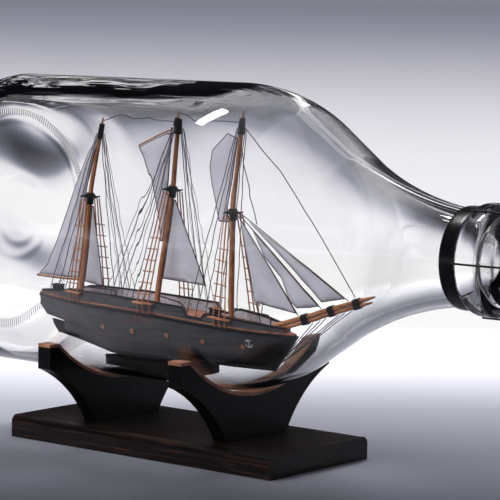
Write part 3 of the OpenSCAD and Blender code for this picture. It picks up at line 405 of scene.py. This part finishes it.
wisps = add(tree, "TexNoise", Vector=at_scale(tree, *wisp_size), Scale=1.0, Detail=1.5, Distortion=0.7)
wisps = add(tree, "Math", TIMES, _0=wisps, _1=crown)
height = add(tree, "Math", {"operation": "ADD"}, _0=knurl, _1=wisps)
relief = add(tree, "Bump", Strength=1.0, Distance=0.05 * MM, Height=height)
glass = add(tree, "BsdfPrincipled", Base_Color="fdfdfd", Roughness=0.0, IOR=1.5, Transmission_Weight=1.0,
            Normal=relief)
# The shadow it casts is clear in the middle and darkens to its edges.
edge = add(tree, "LayerWeight", Blend=0.35).outputs["Facing"]
cast = add(tree, "ValToRGB", stops=((0.0, "f5f5f5"), (0.5, "cbcbcc"), (0.95, "3c3e40")), Fac=edge)
shadow = add(tree, "BsdfTransparent", Color=cast)
path = add(tree, "LightPath")
show(tree, add(tree, "MixShader", Fac=path.outputs["Is Shadow Ray"], _1=glass, _2=shadow))
settle(revolve("bottle_glass", outside + inside, glass_wave), flint, "bottle", "bottle")

# ---------------------------------------------------------------- neck ring
# A wide moulded ring of black rubber, slipped over the collar and seated behind it. It grips the neck by
# its own stretch.


def plain(name, code, roughness, scale, bump):
    """A moulded or dipped finish with a fine uneven skin, its unevenness scale millimetres across."""
    material, tree = finish_of(name)
    skin = add(tree, "TexNoise", Vector=at_scale(tree, scale), Scale=1.0, Detail=4.0)
    rough = add(tree, "MapRange", Value=skin, To_Min=roughness * 0.75, To_Max=roughness * 1.3)
    relief = add(tree, "Bump", Strength=bump, Distance=0.05 * MM, Height=skin)
    show(tree, add(tree, "BsdfPrincipled", Base_Color=code, Roughness=rough, Normal=relief))
    return material


# Black with soft, bright highlights.
dress("neck_ring", plain("black_rubber", "08070a", roughness=0.25, scale=1.5, bump=0.1))

# ---------------------------------------------------------------- stopper and its wire
# A cork pressed from ground grains and pushed into the neck, held by a hood of black enamelled wire. Its
# four wires run from behind the collar over the cork to a small round cap.

# Dull brown grains about 1.3 mm across in three shades, darker than cork's own colour as painted shade for
# the shadow inside the neck, with small pits.
cork, tree = finish_of("agglomerated_cork")
grains = add(tree, "TexVoronoi", Vector=at_scale(tree, 1.3), Scale=1.0)
pits = add(tree, "TexNoise", Vector=at_scale(tree, 0.9), Scale=1.0, Detail=3.0)
shade = add(tree, "ValToRGB", stops=((0.2, "3c2a1e"), (0.5, "5a4230"), (0.8, "75583f")),
            Fac=grains.outputs["Color"])
relief = add(tree, "Bump", Strength=0.5, Distance=0.2 * MM, Height=pits)
show(tree, add(tree, "BsdfPrincipled", Base_Color=shade, Roughness=0.75, Normal=relief))
dress("stopper", cork)
# A dipped enamel, black with a satin shine.
dress("wire_hood", plain("enamelled_wire", "0b0b0d", roughness=0.35, scale=0.8, bump=0.15))

# ---------------------------------------------------------------- block under the ship
# A block of wood painted black, glued to the glass below and to the keel above. It carries the whole ship
# clear of the bottle's wall.

# Brushed paint, dull and faintly blue.
black_paint = plain("black_paint", "0d0f12", roughness=0.5, scale=0.9, bump=0.3)
softened("ship_block", black_paint, "bottle", worn=0.2)

# ---------------------------------------------------------------- hull
# Carved from one piece and stained, with keel, rudder, wales and cap rails of nearly black wood glued on,
# and thin bulwarks that are stained outside and painted pale inside.
bow_x, keel_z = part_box("hull")[1].x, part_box("hull")[0].z
bow_shade_run, bow_shade_low, bow_shade_high = 18 * MM, 2 * MM, 12 * MM    # the rise of the line of painted shade on the lower bow, over the hull's foremost part


def stained(name, dark, mid, wood, rubbed, bow_shaded=False, lined=False):
    """Stained wood, grained along the ship. The wood shows through in flecks about 0.6 mm across, where fine
    noise times broad noise is over rubbed. It can be darkened to near black below a line that rises to the
    bow, as painted shade on the lower bow, and painted pale where it faces inboard."""
    material, tree = finish_of(name)
    grain = add(tree, "TexNoise", Vector=at_scale(tree, 9, 1.4, 0.8), Scale=1.0, Detail=5.0, Roughness=0.6)
    flecks = add(tree, "TexNoise", Vector=at_scale(tree, 0.9, 0.7, 0.45), Scale=1.0, Detail=4.0,
                 Roughness=0.7)
    patches = add(tree, "TexNoise", Vector=at_scale(tree, 14, 14, 5), Scale=1.0, Detail=2.0)
    stain = add(tree, "ValToRGB", stops=((0.3, dark), (0.7, mid)), Fac=grain)
    worn = add(tree, "Math", TIMES, _0=flecks, _1=patches)
    share = add(tree, "MapRange", Value=worn, From_Min=rubbed, From_Max=rubbed + 0.1, To_Max=0.8)
    colour = add(tree, "Mix", {"data_type": "RGBA"}, _0=share, _6=stain, _7=wood).outputs[2]
    place = add(tree, "TexCoord")
    spot = add(tree, "SeparateXYZ", Vector=place.outputs["Object"])
    # Below a line that rises to the bow the colour turns near black: painted shade on the lower bow.
    if bow_shaded:
        line = add(tree, "MapRange", Value=spot.outputs["X"], From_Min=bow_x - bow_shade_run, From_Max=bow_x,
                   To_Min=keel_z + bow_shade_low, To_Max=keel_z + bow_shade_high)
        above = add(tree, "Math", {"operation": "SUBTRACT"}, _0=spot.outputs["Z"], _1=line)
        bow_shade = add(tree, "MapRange", Value=above, From_Min=-1.5 * MM, From_Max=2.5 * MM, To_Min=1.0,
                  To_Max=0.0)
        colour = add(tree, "Mix", {"data_type": "RGBA"}, _0=bow_shade, _6=colour, _7="070708").outputs[2]
    if lined:
        facing = add(tree, "SeparateXYZ", Vector=place.outputs["Normal"])
        inboard = add(tree, "Math", TIMES, _0=spot.outputs["Y"], _1=facing.outputs["Y"])
        inboard = add(tree, "Math", {"operation": "LESS_THAN"}, _0=inboard, _1=-0.2 * MM)
        paint = add(tree, "ValToRGB", stops=((0.36, "3c3c42"), (0.46, "b4b4bd")), Fac=flecks)
        colour = add(tree, "Mix", {"data_type": "RGBA"}, _0=inboard, _6=colour, _7=paint).outputs[2]
    relief = add(tree, "Bump", Strength=0.25, Distance=0.12 * MM, Height=grain)
    show(tree, add(tree, "BsdfPrincipled", Base_Color=colour, Roughness=0.45, Normal=relief))
    return material


# A satin grey-black with red-brown flecks for the hull and the bulwarks, painted shade near black low on the
# hull's bow, and a deeper black for the trim.
grey_stain = ("323236", "505257", "7a4c38")
charcoal = stained("charcoal_stain", *grey_stain, rubbed=0.29, bow_shaded=True)
bulwark_paint = stained("charcoal_stain_over_pale_paint", *grey_stain, rubbed=0.29, lined=True)
near_black = stained("near_black_stain", "0f0d0f", "1d1a1c", "4a3028", rubbed=0.5)
for node, stain in (("hull", charcoal), ("wales", near_black), ("cap_rails", near_black),
                    ("bulwarks", bulwark_paint)):
    softened(node, stain, "bottle")
for node in ("keel", "rudder"):
    dress(node, near_black)

# ---------------------------------------------------------------- deck and its fittings
# A pine deck let in between the bulwarks, with a steering box and a galley glued on. Along the sides are the
# channels that spread the shrouds and the portholes, cut from boxwood, and anchors and rails bent from wire.

# Bare wood, dull and warm: the pine a mid brown, the boxwood paler.
pine = grained("bare_pine", "6f4735", "94664f", "b58970", grain=(12, 0.8, 0.8), roughness=0.55)
boxwood = grained("boxwood", "8a5640", "b07a5c", "cc9c80", grain=(3, 3, 0.6), roughness=0.5)
# The anchors are pale and the rails nearly black, both with the soft shine of dipped wire.
tinned_wire = plain("tinned_wire", "b9b9c2", roughness=0.4, scale=0.5, bump=0.2)
blackened_wire = plain("blackened_wire", "232327", roughness=0.4, scale=0.5, bump=0.2)
for node, finish in (("deck", pine), ("channels", boxwood), ("portholes", boxwood), ("anchors", tinned_wire),
                     ("deck_rails", blackened_wire)):
    dress(node, finish)
for node in ("steering_box", "galley"):
    softened(node, near_black, "bottle", worn=0.1)

# ---------------------------------------------------------------- masts and spars
# Sticks of split bamboo, left bare, stepped on wire staples; mastheads and crosstrees are bound with
# black thread.

# Tan with long darker fibres, which run up the masts and along the spars.
fibre, cane = 0.7, ("7a4a34", "a8714f", "cf9c7c")
upright = grained("split_bamboo", *cane, grain=(fibre, fibre, 7), roughness=0.42, bump=0.15)
lengthwise = grained("split_bamboo_spars", *cane, grain=(7, fibre, fibre), roughness=0.42, bump=0.15)
for node in ("mizzen_mast", "main_mast", "fore_mast"):
    dress(node, upright)
for node in ("mizzen_boom", "topsail_yard", "bowsprit", "jibboom"):
    dress(node, lengthwise)
# Old brass wire, dull and greenish.
dress("mast_staples", metal("dull_brass_wire", "9c8a5e", roughness=0.45, grit=0.2))


def bound(name, dark, light, pitch):
    """Turns of waxed thread laid side by side, 0.63 times pitch millimetres apart."""
    material, tree = finish_of(name)
    turns = add(tree, "TexWave", {"bands_direction": "Z"}, Vector=at_scale(tree, pitch), Scale=0.5,
                Distortion=1.5, Detail=2.0).outputs["Fac"]
    colour = add(tree, "ValToRGB", stops=((0.2, dark), (0.9, light)), Fac=turns)
    relief = add(tree, "Bump", Strength=0.6, Distance=0.15 * MM, Height=turns)
    show(tree, add(tree, "BsdfPrincipled", Base_Color=colour, Roughness=0.6, Normal=relief))
    return material


# Black, with the turns just to be seen.
binding = bound("black_waxed_thread", "060507", "141215", pitch=0.35)
for mast in ("mizzen", "main", "fore"):
    dress(mast + "_crosstrees", binding)
    dress(mast + "_masthead", binding)
dress("bowsprit_lashings", binding)

# ---------------------------------------------------------------- sails
# Cut from thin pale cotton, each bellied a little and edged with a bolt rope. They are made fast to masts,
# boom and yard, and the jibs along their fore edges to the headstays.


def outline_of(node):
    """The outline of a flat CAD sail: the edges of its near face that belong to one triangle, joined in
    order."""
    digits, same_plane = 7, 1e-6
    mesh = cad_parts[node].data
    co = np.array([v.co for v in mesh.vertices])
    near = co[:, 1].min()
    edges = {}
    for face in mesh.polygons:
        corners = [tuple(np.round(co[v], digits)) for v in face.vertices]
        if max(p[1] for p in corners) > near + same_plane:
            continue
        for p, q in zip(corners, corners[1:] + corners[:1]):
            if not edges.pop((q, p), False):
                edges[(p, q)] = True
    step = dict(edges.keys())
    loop = [next(iter(step))]
    while step[loop[-1]] != loop[0]:
        loop.append(step[loop[-1]])
    return np.array([(p[0], p[2]) for p in loop])


def edge_distance(points, outline):
    """Distance of each point from the nearest side of the outline."""
    a, b = outline, np.roll(outline, -1, 0)
    ab = b - a
    t = np.clip(((points[:, None] - a) * ab).sum(-1) / (ab ** 2).sum(-1), 0, 1)
    return np.linalg.norm(points[:, None] - (a + t[..., None] * ab), axis=-1).min(1)


def inside_of(points, outline):
    """True where a point lies inside the outline: a line from it towards +x crosses an odd number of
    sides."""
    a, b = outline, np.roll(outline, -1, 0)
    x, z = points[:, None, 0], points[:, None, 1]
    over = (a[:, 1] > z) != (b[:, 1] > z)
    run, height = (b - a).T
    cross = a[:, 0] + (z - a[:, 1]) / np.where(height == 0, 1, height) * run
    return (over & (x < cross)).sum(1) % 2 == 1


def cloth(name, outline, belly, pitch=0.9):
    """A sail: points on a grid inside the outline, joined to it. It stands out from the ship's middle plane
    by belly times a curve that rises from its edges: the root of the distance from the nearest edge, over
    the greatest such distance, and eased over the outer half."""
    side = pitch * MM
    corners = []
    for p, q in zip(outline, np.roll(outline, -1, 0)):
        n = max(1, int(np.linalg.norm(q - p) / side))
        corners += [p + (q - p) * k / n for k in range(n)]
    corners = np.array(corners)
    lo, hi = outline.min(0), outline.max(0)
    gx, gz = np.meshgrid(np.arange(lo[0], hi[0], side), np.arange(lo[1], hi[1], side))
    grid = np.stack([gx.ravel(), gz.ravel()], -1)
    grid = grid[inside_of(grid, outline)]
    grid = grid[edge_distance(grid, outline) > side * 0.6]
    flat = np.concatenate([corners, grid])
    rim = [(i, (i + 1) % len(corners)) for i in range(len(corners))]
    verts, _, faces, *_ = delaunay_2d_cdt([Vector(p) for p in flat], rim, [], 1, 1e-9)
    p = np.array([tuple(v) for v in verts])
    d = edge_distance(p, outline)
    rise = np.sqrt(d / d.max() + 1e-9) * np.minimum(1, d / d.max() * 2)
    y = -belly * MM * rise
    return surface(name, np.stack([p[:, 0], y, p[:, 1]], -1).tolist(), [list(f) for f in faces])


def hanked(outline, reach, slack):
    """A jib's outline with its fore edge, from its head to its foremost corner, moved out to its stay by
    reach millimetres, and its other corners moved away from the stay by slack millimetres."""
    on_edge = 0.3
    head, tack = outline[outline[:, 1].argmax()], outline[outline[:, 0].argmax()]
    along = (tack - head) / np.linalg.norm(tack - head)
    outward = np.array([-along[1], along[0]])
    near = np.abs((outline - head) @ outward) < on_edge * MM
    return outline + np.where(near, reach, -slack)[:, None] * outward * MM


def rope_round(name, outline, radius, around=8):
    """A bolt rope: a ring of points carried round the outline on the mean of its two sides at each corner,
    and widened there so that it stays as thick along both."""
    ahead = np.roll(outline, -1, 0) - outline
    ahead /= np.linalg.norm(ahead, axis=1)[:, None]
    along = ahead + np.roll(ahead, 1, 0)
    along /= np.linalg.norm(along, axis=1)[:, None]
    out = np.stack([along[:, 1], -along[:, 0]], -1)
    widen = 1 / np.maximum(0.5, (out * np.stack([ahead[:, 1], -ahead[:, 0]], -1)).sum(-1))
    a = np.linspace(0, 2 * np.pi, around, endpoint=False)
    x = outline[:, None, 0] + radius * MM * np.cos(a) * (out[:, 0] * widen)[:, None]
    z = outline[:, None, 1] + radius * MM * np.cos(a) * (out[:, 1] * widen)[:, None]
    y = np.broadcast_to(radius * MM * np.sin(a), x.shape)
    points = np.stack([x, y, z], -1).reshape(-1, 3)
    return surface(name, points.tolist(), net(len(outline), around, closed=True).tolist())


def cotton(name, code, sheer):
    """Thin plain-woven cotton: threads 0.25 mm apart along x and z, and faint stains about 10 mm across.
    sheer is the share of light that it lets through."""
    material, tree = finish_of(name)
    warp = add(tree, "TexWave", {"bands_direction": "X"}, Vector=at_scale(tree, 0.25, 1, 0.25), Scale=0.31)
    weft = add(tree, "TexWave", {"bands_direction": "Z"}, Vector=at_scale(tree, 0.25, 1, 0.25), Scale=0.31)
    weave = add(tree, "Math", {"operation": "MAXIMUM"}, _0=warp.outputs["Fac"], _1=weft.outputs["Fac"])
    stains = add(tree, "TexNoise", Vector=at_scale(tree, 9, 9, 14), Scale=1.0, Detail=4.0)
    shade = add(tree, "ValToRGB", stops=((0.3, "dcdbe0"), (0.7, "f6f6f8")), Fac=stains)
    tint = add(tree, "Mix", {"data_type": "RGBA", "blend_type": "MULTIPLY"}, _0=1.0, _6=code, _7=shade)
    relief = add(tree, "Bump", Strength=0.2, Distance=0.05 * MM, Height=weave)
    front = add(tree, "BsdfDiffuse", Color=tint.outputs[2], Normal=relief)
    back = add(tree, "BsdfTranslucent", Color=tint.outputs[2])
    show(tree, add(tree, "MixShader", Fac=sheer, _1=front, _2=back))
    return material


# An even, matt off-white that glows a little against the light, and a brown and black edge to it.
sailcloth = cotton("sail_cotton", "e9e9ee", sheer=0.45)
bolt_rope = bound("tarred_bolt_rope", "141014", "6a4636", pitch=0.5)
cloth_t, rope_r = 0.12, 0.17
bellies = {"mizzen_sail": 1.6, "mizzen_staysail": 0.5, "main_topsail": 1.0, "main_staysail": 1.2,
           "fore_topsail": 0.9, "inner_jib": 1.4, "middle_jib": 0.9, "outer_jib": 1.1}
jib_reach, jib_slack = 0.4, {"inner_jib": 0.0, "middle_jib": 0.6, "outer_jib": 0.9}
sails, ropes, cuts = {}, {}, {}
for node, belly in bellies.items():
    cuts[node] = outline_of(node)
    if node in jib_slack:
        cuts[node] = hanked(cuts[node], jib_reach, jib_slack[node])
    sails[node] = cloth(node + "_cloth", cuts[node], belly)
    thick = sails[node].modifiers.new("thickness", "SOLIDIFY")
    thick.thickness = cloth_t * MM
    thick.offset = 0
    settle(sails[node], sailcloth, "bottle", node)
    ropes[node] = settle(rope_round(node + "_rope", cuts[node], rope_r), bolt_rope, "bottle")

# ---------------------------------------------------------------- rigging
# Shrouds and ratlines of tan linen, backstays and bobstays of grey thread, headstays of tarred twine, and
# darker thread for the jibs' sheets and between the mastheads. Each is stretched and glued at both ends.


def thread(name, dark, light):
    """Laid thread, its strands about 0.3 mm long."""
    material, tree = finish_of(name)
    lay = add(tree, "TexNoise", Vector=at_scale(tree, 0.3), Scale=1.0, Detail=2.0)
    colour = add(tree, "ValToRGB", stops=((0.3, dark), (0.7, light)), Fac=lay)
    relief = add(tree, "Bump", Strength=0.4, Distance=0.05 * MM, Height=lay)
    show(tree, add(tree, "BsdfPrincipled", Base_Color=colour, Roughness=0.7, Normal=relief))
    return material


def strands(node):
    """The two ends and the radius of each straight rod in a CAD node: its points that hang together, and the
    line that fits them best."""
    shape = bmesh.new()
    shape.from_mesh(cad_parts[node].data)
    bmesh.ops.remove_doubles(shape, verts=shape.verts, dist=1e-7)
    shape.verts.ensure_lookup_table()
    left = set(range(len(shape.verts)))
    rods = []
    while left:
        island, queue = [], [left.pop()]
        while queue:
            v = queue.pop()
            island.append(tuple(shape.verts[v].co))
            for e in shape.verts[v].link_edges:
                other = e.other_vert(shape.verts[v]).index
                if other in left:
                    left.remove(other)
                    queue.append(other)
        points = np.array(island)
        middle = points.mean(0)
        axis = np.linalg.svd(points - middle)[2][0]
        along = (points - middle) @ axis
        radius = np.linalg.norm(points - middle - along[:, None] * axis, axis=1).max()
        rods.append((middle + along.min() * axis, middle + along.max() * axis, radius))
    shape.free()
    return rods


def tubes(name, routes, around=7):
    """One mesh of round threads. A route is its points, in metres, and its radius; each point carries a ring
    square to the thread."""
    points, faces = [], []
    for route, radius in routes:
        ahead = np.gradient(route, axis=0)
        ahead /= np.linalg.norm(ahead, axis=1)[:, None]
        first = np.cross(ahead, (0.31, 0.9, 0.3))
        first /= np.linalg.norm(first, axis=1)[:, None]
        second = np.cross(ahead, first)
        a = np.linspace(0, 2 * np.pi, around, endpoint=False)[:, None]
        ring = route[:, None] + radius * (np.cos(a) * first[:, None] + np.sin(a) * second[:, None])
        start, n = len(points), len(route)
        points += ring.reshape(-1, 3).tolist()
        faces += (net(n, around) + start).tolist()
        end = start + (n - 1) * around
        faces += [list(range(start, start + around))[::-1], list(range(end, end + around))]
    return surface(name, points, faces)


def crinkled(p, q, kink, step, random):
    """Points from p to q on a thread with a memory: random offsets of up to kink millimetres every step
    millimetres, joined by a smooth curve and fading out at both ends."""
    length = np.linalg.norm(q - p) / MM
    knots = max(3, int(length / step))
    t = np.linspace(0, 1, knots * 3 + 1)
    offsets = random.uniform(-1, 1, (knots + 1, 3)) * kink * MM
    offsets[[0, -1]] = 0
    bends = np.stack([np.interp(t, np.linspace(0, 1, knots + 1), offsets[:, c]) for c in range(3)], -1)
    bends[1:-1] = (bends[:-2] + 2 * bends[1:-1] + bends[2:]) / 4
    return p + (q - p) * t[:, None] + bends


# All are dull: a warm tan, a mid grey, a brown-black, and tar worn to brown in places.
linen = thread("tan_linen", "8a5236", "c49474")
grey_thread = thread("grey_stay_thread", "2c2c32", "54545c")
dark_thread = thread("dark_stay_thread", "1c1a1e", "3c3638")
tarred_twine = thread("tarred_twine", "0e0b0b", "6a4430")
# A backstay whose lower end lies between twin_from and twin_to has a thinner, looser twin beside it.
twin_from, twin_to, twin_aside, twin_kink, twin_step, twin_share = -45, 2, 2.4, 0.4, 3.0, 0.6
random = np.random.default_rng(7)
for node, material, kink, step in (
        ("backstays", grey_thread, 0.2, 3.2), ("bobstays", grey_thread, 0.08, 3.0),
        ("mizzen_shrouds", linen, 0.08, 2.5), ("main_shrouds", linen, 0.08, 2.5),
        ("fore_shrouds", linen, 0.08, 2.5)):
    rods = strands(node)
    routes = [(crinkled(p, q, kink, step, random), radius) for p, q, radius in rods]
    if node == "backstays":
        routes += [(crinkled(p + np.array([twin_aside * np.sign(p[1]), 0, 0]) * MM, q, twin_kink, twin_step,
                             random), twin_share * radius)
                   for p, q, radius in rods if twin_from * MM < p[0] < twin_to * MM]
    settle(tubes(node + "_threads", routes), material, "bottle", node)
for node, material in (("ratlines", linen), ("headstays", tarred_twine), ("jib_sheets", dark_thread),
                       ("triatic_stays", dark_thread)):
    dress(node, material)

# ---------------------------------------------------------------- studio
# A matt floor, its colour pale behind the object and darkening towards the front as painted shade for the
# light that falls off away from the lamps behind. It fades out at the back into a white glow, under a sky
# that is dark overhead. Soft lamps stand above, behind and in front.
world = bpy.data.worlds.new("studio")
bpy.context.scene.world = world
world.use_nodes = True
tree = world.node_tree
tree.nodes.clear()
way = add(tree, "SeparateXYZ", Vector=add(tree, "TexCoord").outputs["Generated"])
lowest, highest, horizon = -0.2, 0.3, 0.002
height = add(tree, "MapRange", Value=way.outputs["Z"], From_Min=lowest, From_Max=highest)


def place_of(z):
    """Where a direction's height falls on the sky's ramp."""
    return (z - lowest) / (highest - lowest)


glow = add(tree, "ValToRGB", Fac=height, stops=[(place_of(z), code) for z, code in (
    (-0.135, "fbfbfb"), (-0.1, "f3f3f6"), (-0.071, "efeef3"), (-0.060, "ebebef"), (-0.050, "e2e2e8"),
    (-0.039, "d6d5dd"), (-0.029, "c4c3cc"), (-0.0185, "acacb7"), (-0.008, "9192a0"), (horizon, "7e7f8c"),
    (0.03, "595a63"), (0.06, "34353b"), (0.15, "1a1b1f"), (0.3, "26272c"))])
# Over the horizon the sky is mid grey, except astern of the ship.
beside = add(tree, "MapRange", SMOOTH, Value=way.outputs["X"], From_Min=-0.46, From_Max=-0.15, To_Max=0.95)
above = add(tree, "MapRange", Value=way.outputs["Z"], From_Max=0.06)
beside = add(tree, "Math", TIMES, _0=beside, _1=above)
glow = add(tree, "Mix", {"data_type": "RGBA"}, _0=beside, _6=glow, _7="94959e").outputs[2]
# Seen straight, the backdrop over the horizon is pale.
seen = add(tree, "LightPath")
pale = add(tree, "ValToRGB", stops=((place_of(horizon), "7e7f8c"), (place_of(0.12), "b9bac3")), Fac=height)
overhead = add(tree, "Math", {"operation": "GREATER_THAN"}, _0=way.outputs["Z"], _1=horizon)
overhead = add(tree, "Math", TIMES, _0=overhead, _1=seen.outputs["Is Camera Ray"])
glow = add(tree, "Mix", {"data_type": "RGBA"}, _0=overhead, _6=glow, _7=pale).outputs[2]
# Glass and varnish show this sky too, and it is a little brighter through glass. An even pale light falls
# on everything else.
shown = add(tree, "Math", {"operation": "MAXIMUM"}, _0=seen.outputs["Is Camera Ray"],
            _1=seen.outputs["Is Transmission Ray"])
shown = add(tree, "Math", {"operation": "MAXIMUM"}, _0=shown, _1=seen.outputs["Is Glossy Ray"])
strength = add(tree, "Math", {"operation": "MULTIPLY_ADD"}, _0=seen.outputs["Is Transmission Ray"], _1=0.14,
               _2=1.0)
sky = add(tree, "Background", Color=glow, Strength=strength)
ambient = add(tree, "Background", Color="e0dfe4", Strength=0.55)
mixed = add(tree, "MixShader", Fac=shown, _1=ambient, _2=sky)
add(tree, "OutputWorld", Surface=mixed)

# The floor is a flat grid, r metres behind the origin as the lens looks, and c metres to its side.
ahead = Vector((aim.x, aim.y)).normalized()
floor_front, floor_back, floor_side, cells = 1.2, 0.3, 1.2, 30
r, c = np.meshgrid(np.linspace(-floor_front, floor_back, cells + 1),
                   np.linspace(-floor_side, floor_side, cells + 1), indexing="ij")
points = np.stack([ahead.x * r - ahead.y * c, ahead.y * r + ahead.x * c, 0 * r], -1)
i, j = np.meshgrid(np.arange(cells), np.arange(cells), indexing="ij")
corner = i * (cells + 1) + j
faces = np.stack([corner, corner + cells + 1, corner + cells + 2, corner + 1], -1)
floor = surface("floor", points.reshape(-1, 3).tolist(), faces.reshape(-1, 4).tolist())
bpy.context.scene.collection.objects.link(floor)

# Matt paper, its colour graded from dark grey in front to white behind as painted shade for the light falling
# from behind, which thins out to nothing at its edges.
sweep, tree = finish_of("matt_sweep")
place = add(tree, "TexCoord").outputs["Object"]
spot = add(tree, "SeparateXYZ", Vector=place)
depth = add(tree, "Math", TIMES, _0=spot.outputs["X"], _1=ahead.x)
depth = add(tree, "Math", {"operation": "MULTIPLY_ADD"}, _0=spot.outputs["Y"], _1=ahead.y, _2=depth)
band = add(tree, "MapRange", Value=depth, From_Min=-0.15, From_Max=0.3)
painted_falloff = add(tree, "ValToRGB", Fac=band, stops=((0.0, "2c2d32"), (0.15, "45464d"), (0.3, "66676f"),
                                              (0.5, "8b8c95"), (0.75, "c5c5cb"), (1.0, "f0f0f2")))
paper = add(tree, "BsdfDiffuse", Color=painted_falloff)
gone = add(tree, "BsdfTransparent")
back_fade = add(tree, "MapRange", Value=depth, From_Min=0.18, From_Max=0.29)
reach = add(tree, "VectorMath", {"operation": "LENGTH"}, _0=place).outputs["Value"]
edge_fade = add(tree, "MapRange", Value=reach, From_Min=0.5, From_Max=1.1)
fade = add(tree, "Math", {"operation": "MAXIMUM"}, _0=back_fade, _1=edge_fade)
show(tree, add(tree, "MixShader", Fac=fade, _1=paper, _2=gone))
floor.data.materials.append(sweep)


def lamp(name, place, at, size, power, reflected=True):
    """A soft lamp, in millimetres: size is its width and its length, which lies along the ship's beam."""
    light = bpy.data.lights.new(name, "AREA")
    light.shape = "RECTANGLE"
    light.size, light.size_y = size[0] * MM, size[1] * MM
    light.energy = power
    source = bpy.data.objects.new(name, light)
    out = (Vector(place) - Vector(at)).normalized()
    across = Vector((0.3, 1, 0)).cross(out).normalized()
    turn = Matrix((across, out.cross(across), out)).transposed().to_4x4()
    source.matrix_world = Matrix.Translation(Vector(place) * MM) @ turn
    source.visible_glossy = source.visible_transmission = reflected
    bpy.context.scene.collection.objects.link(source)


lamp("back_softbox", (-250, 620, 620), at=(0, 0, 40), size=(260, 260), power=10.0, reflected=False)
lamp("overhead_strip", (-279, 63, 836), at=(29, -25, 103), size=(80, 232), power=2.0)
lamp("rim_strip", (-240, 800, 620), at=(60, 0, 95), size=(900, 40), power=0.14)
lamp("front_fill", (-300, -700, 500), at=(0, 0, 60), size=(500, 500), power=9.0, reflected=False)

bpy.context.scene.view_settings.view_transform = "Standard"
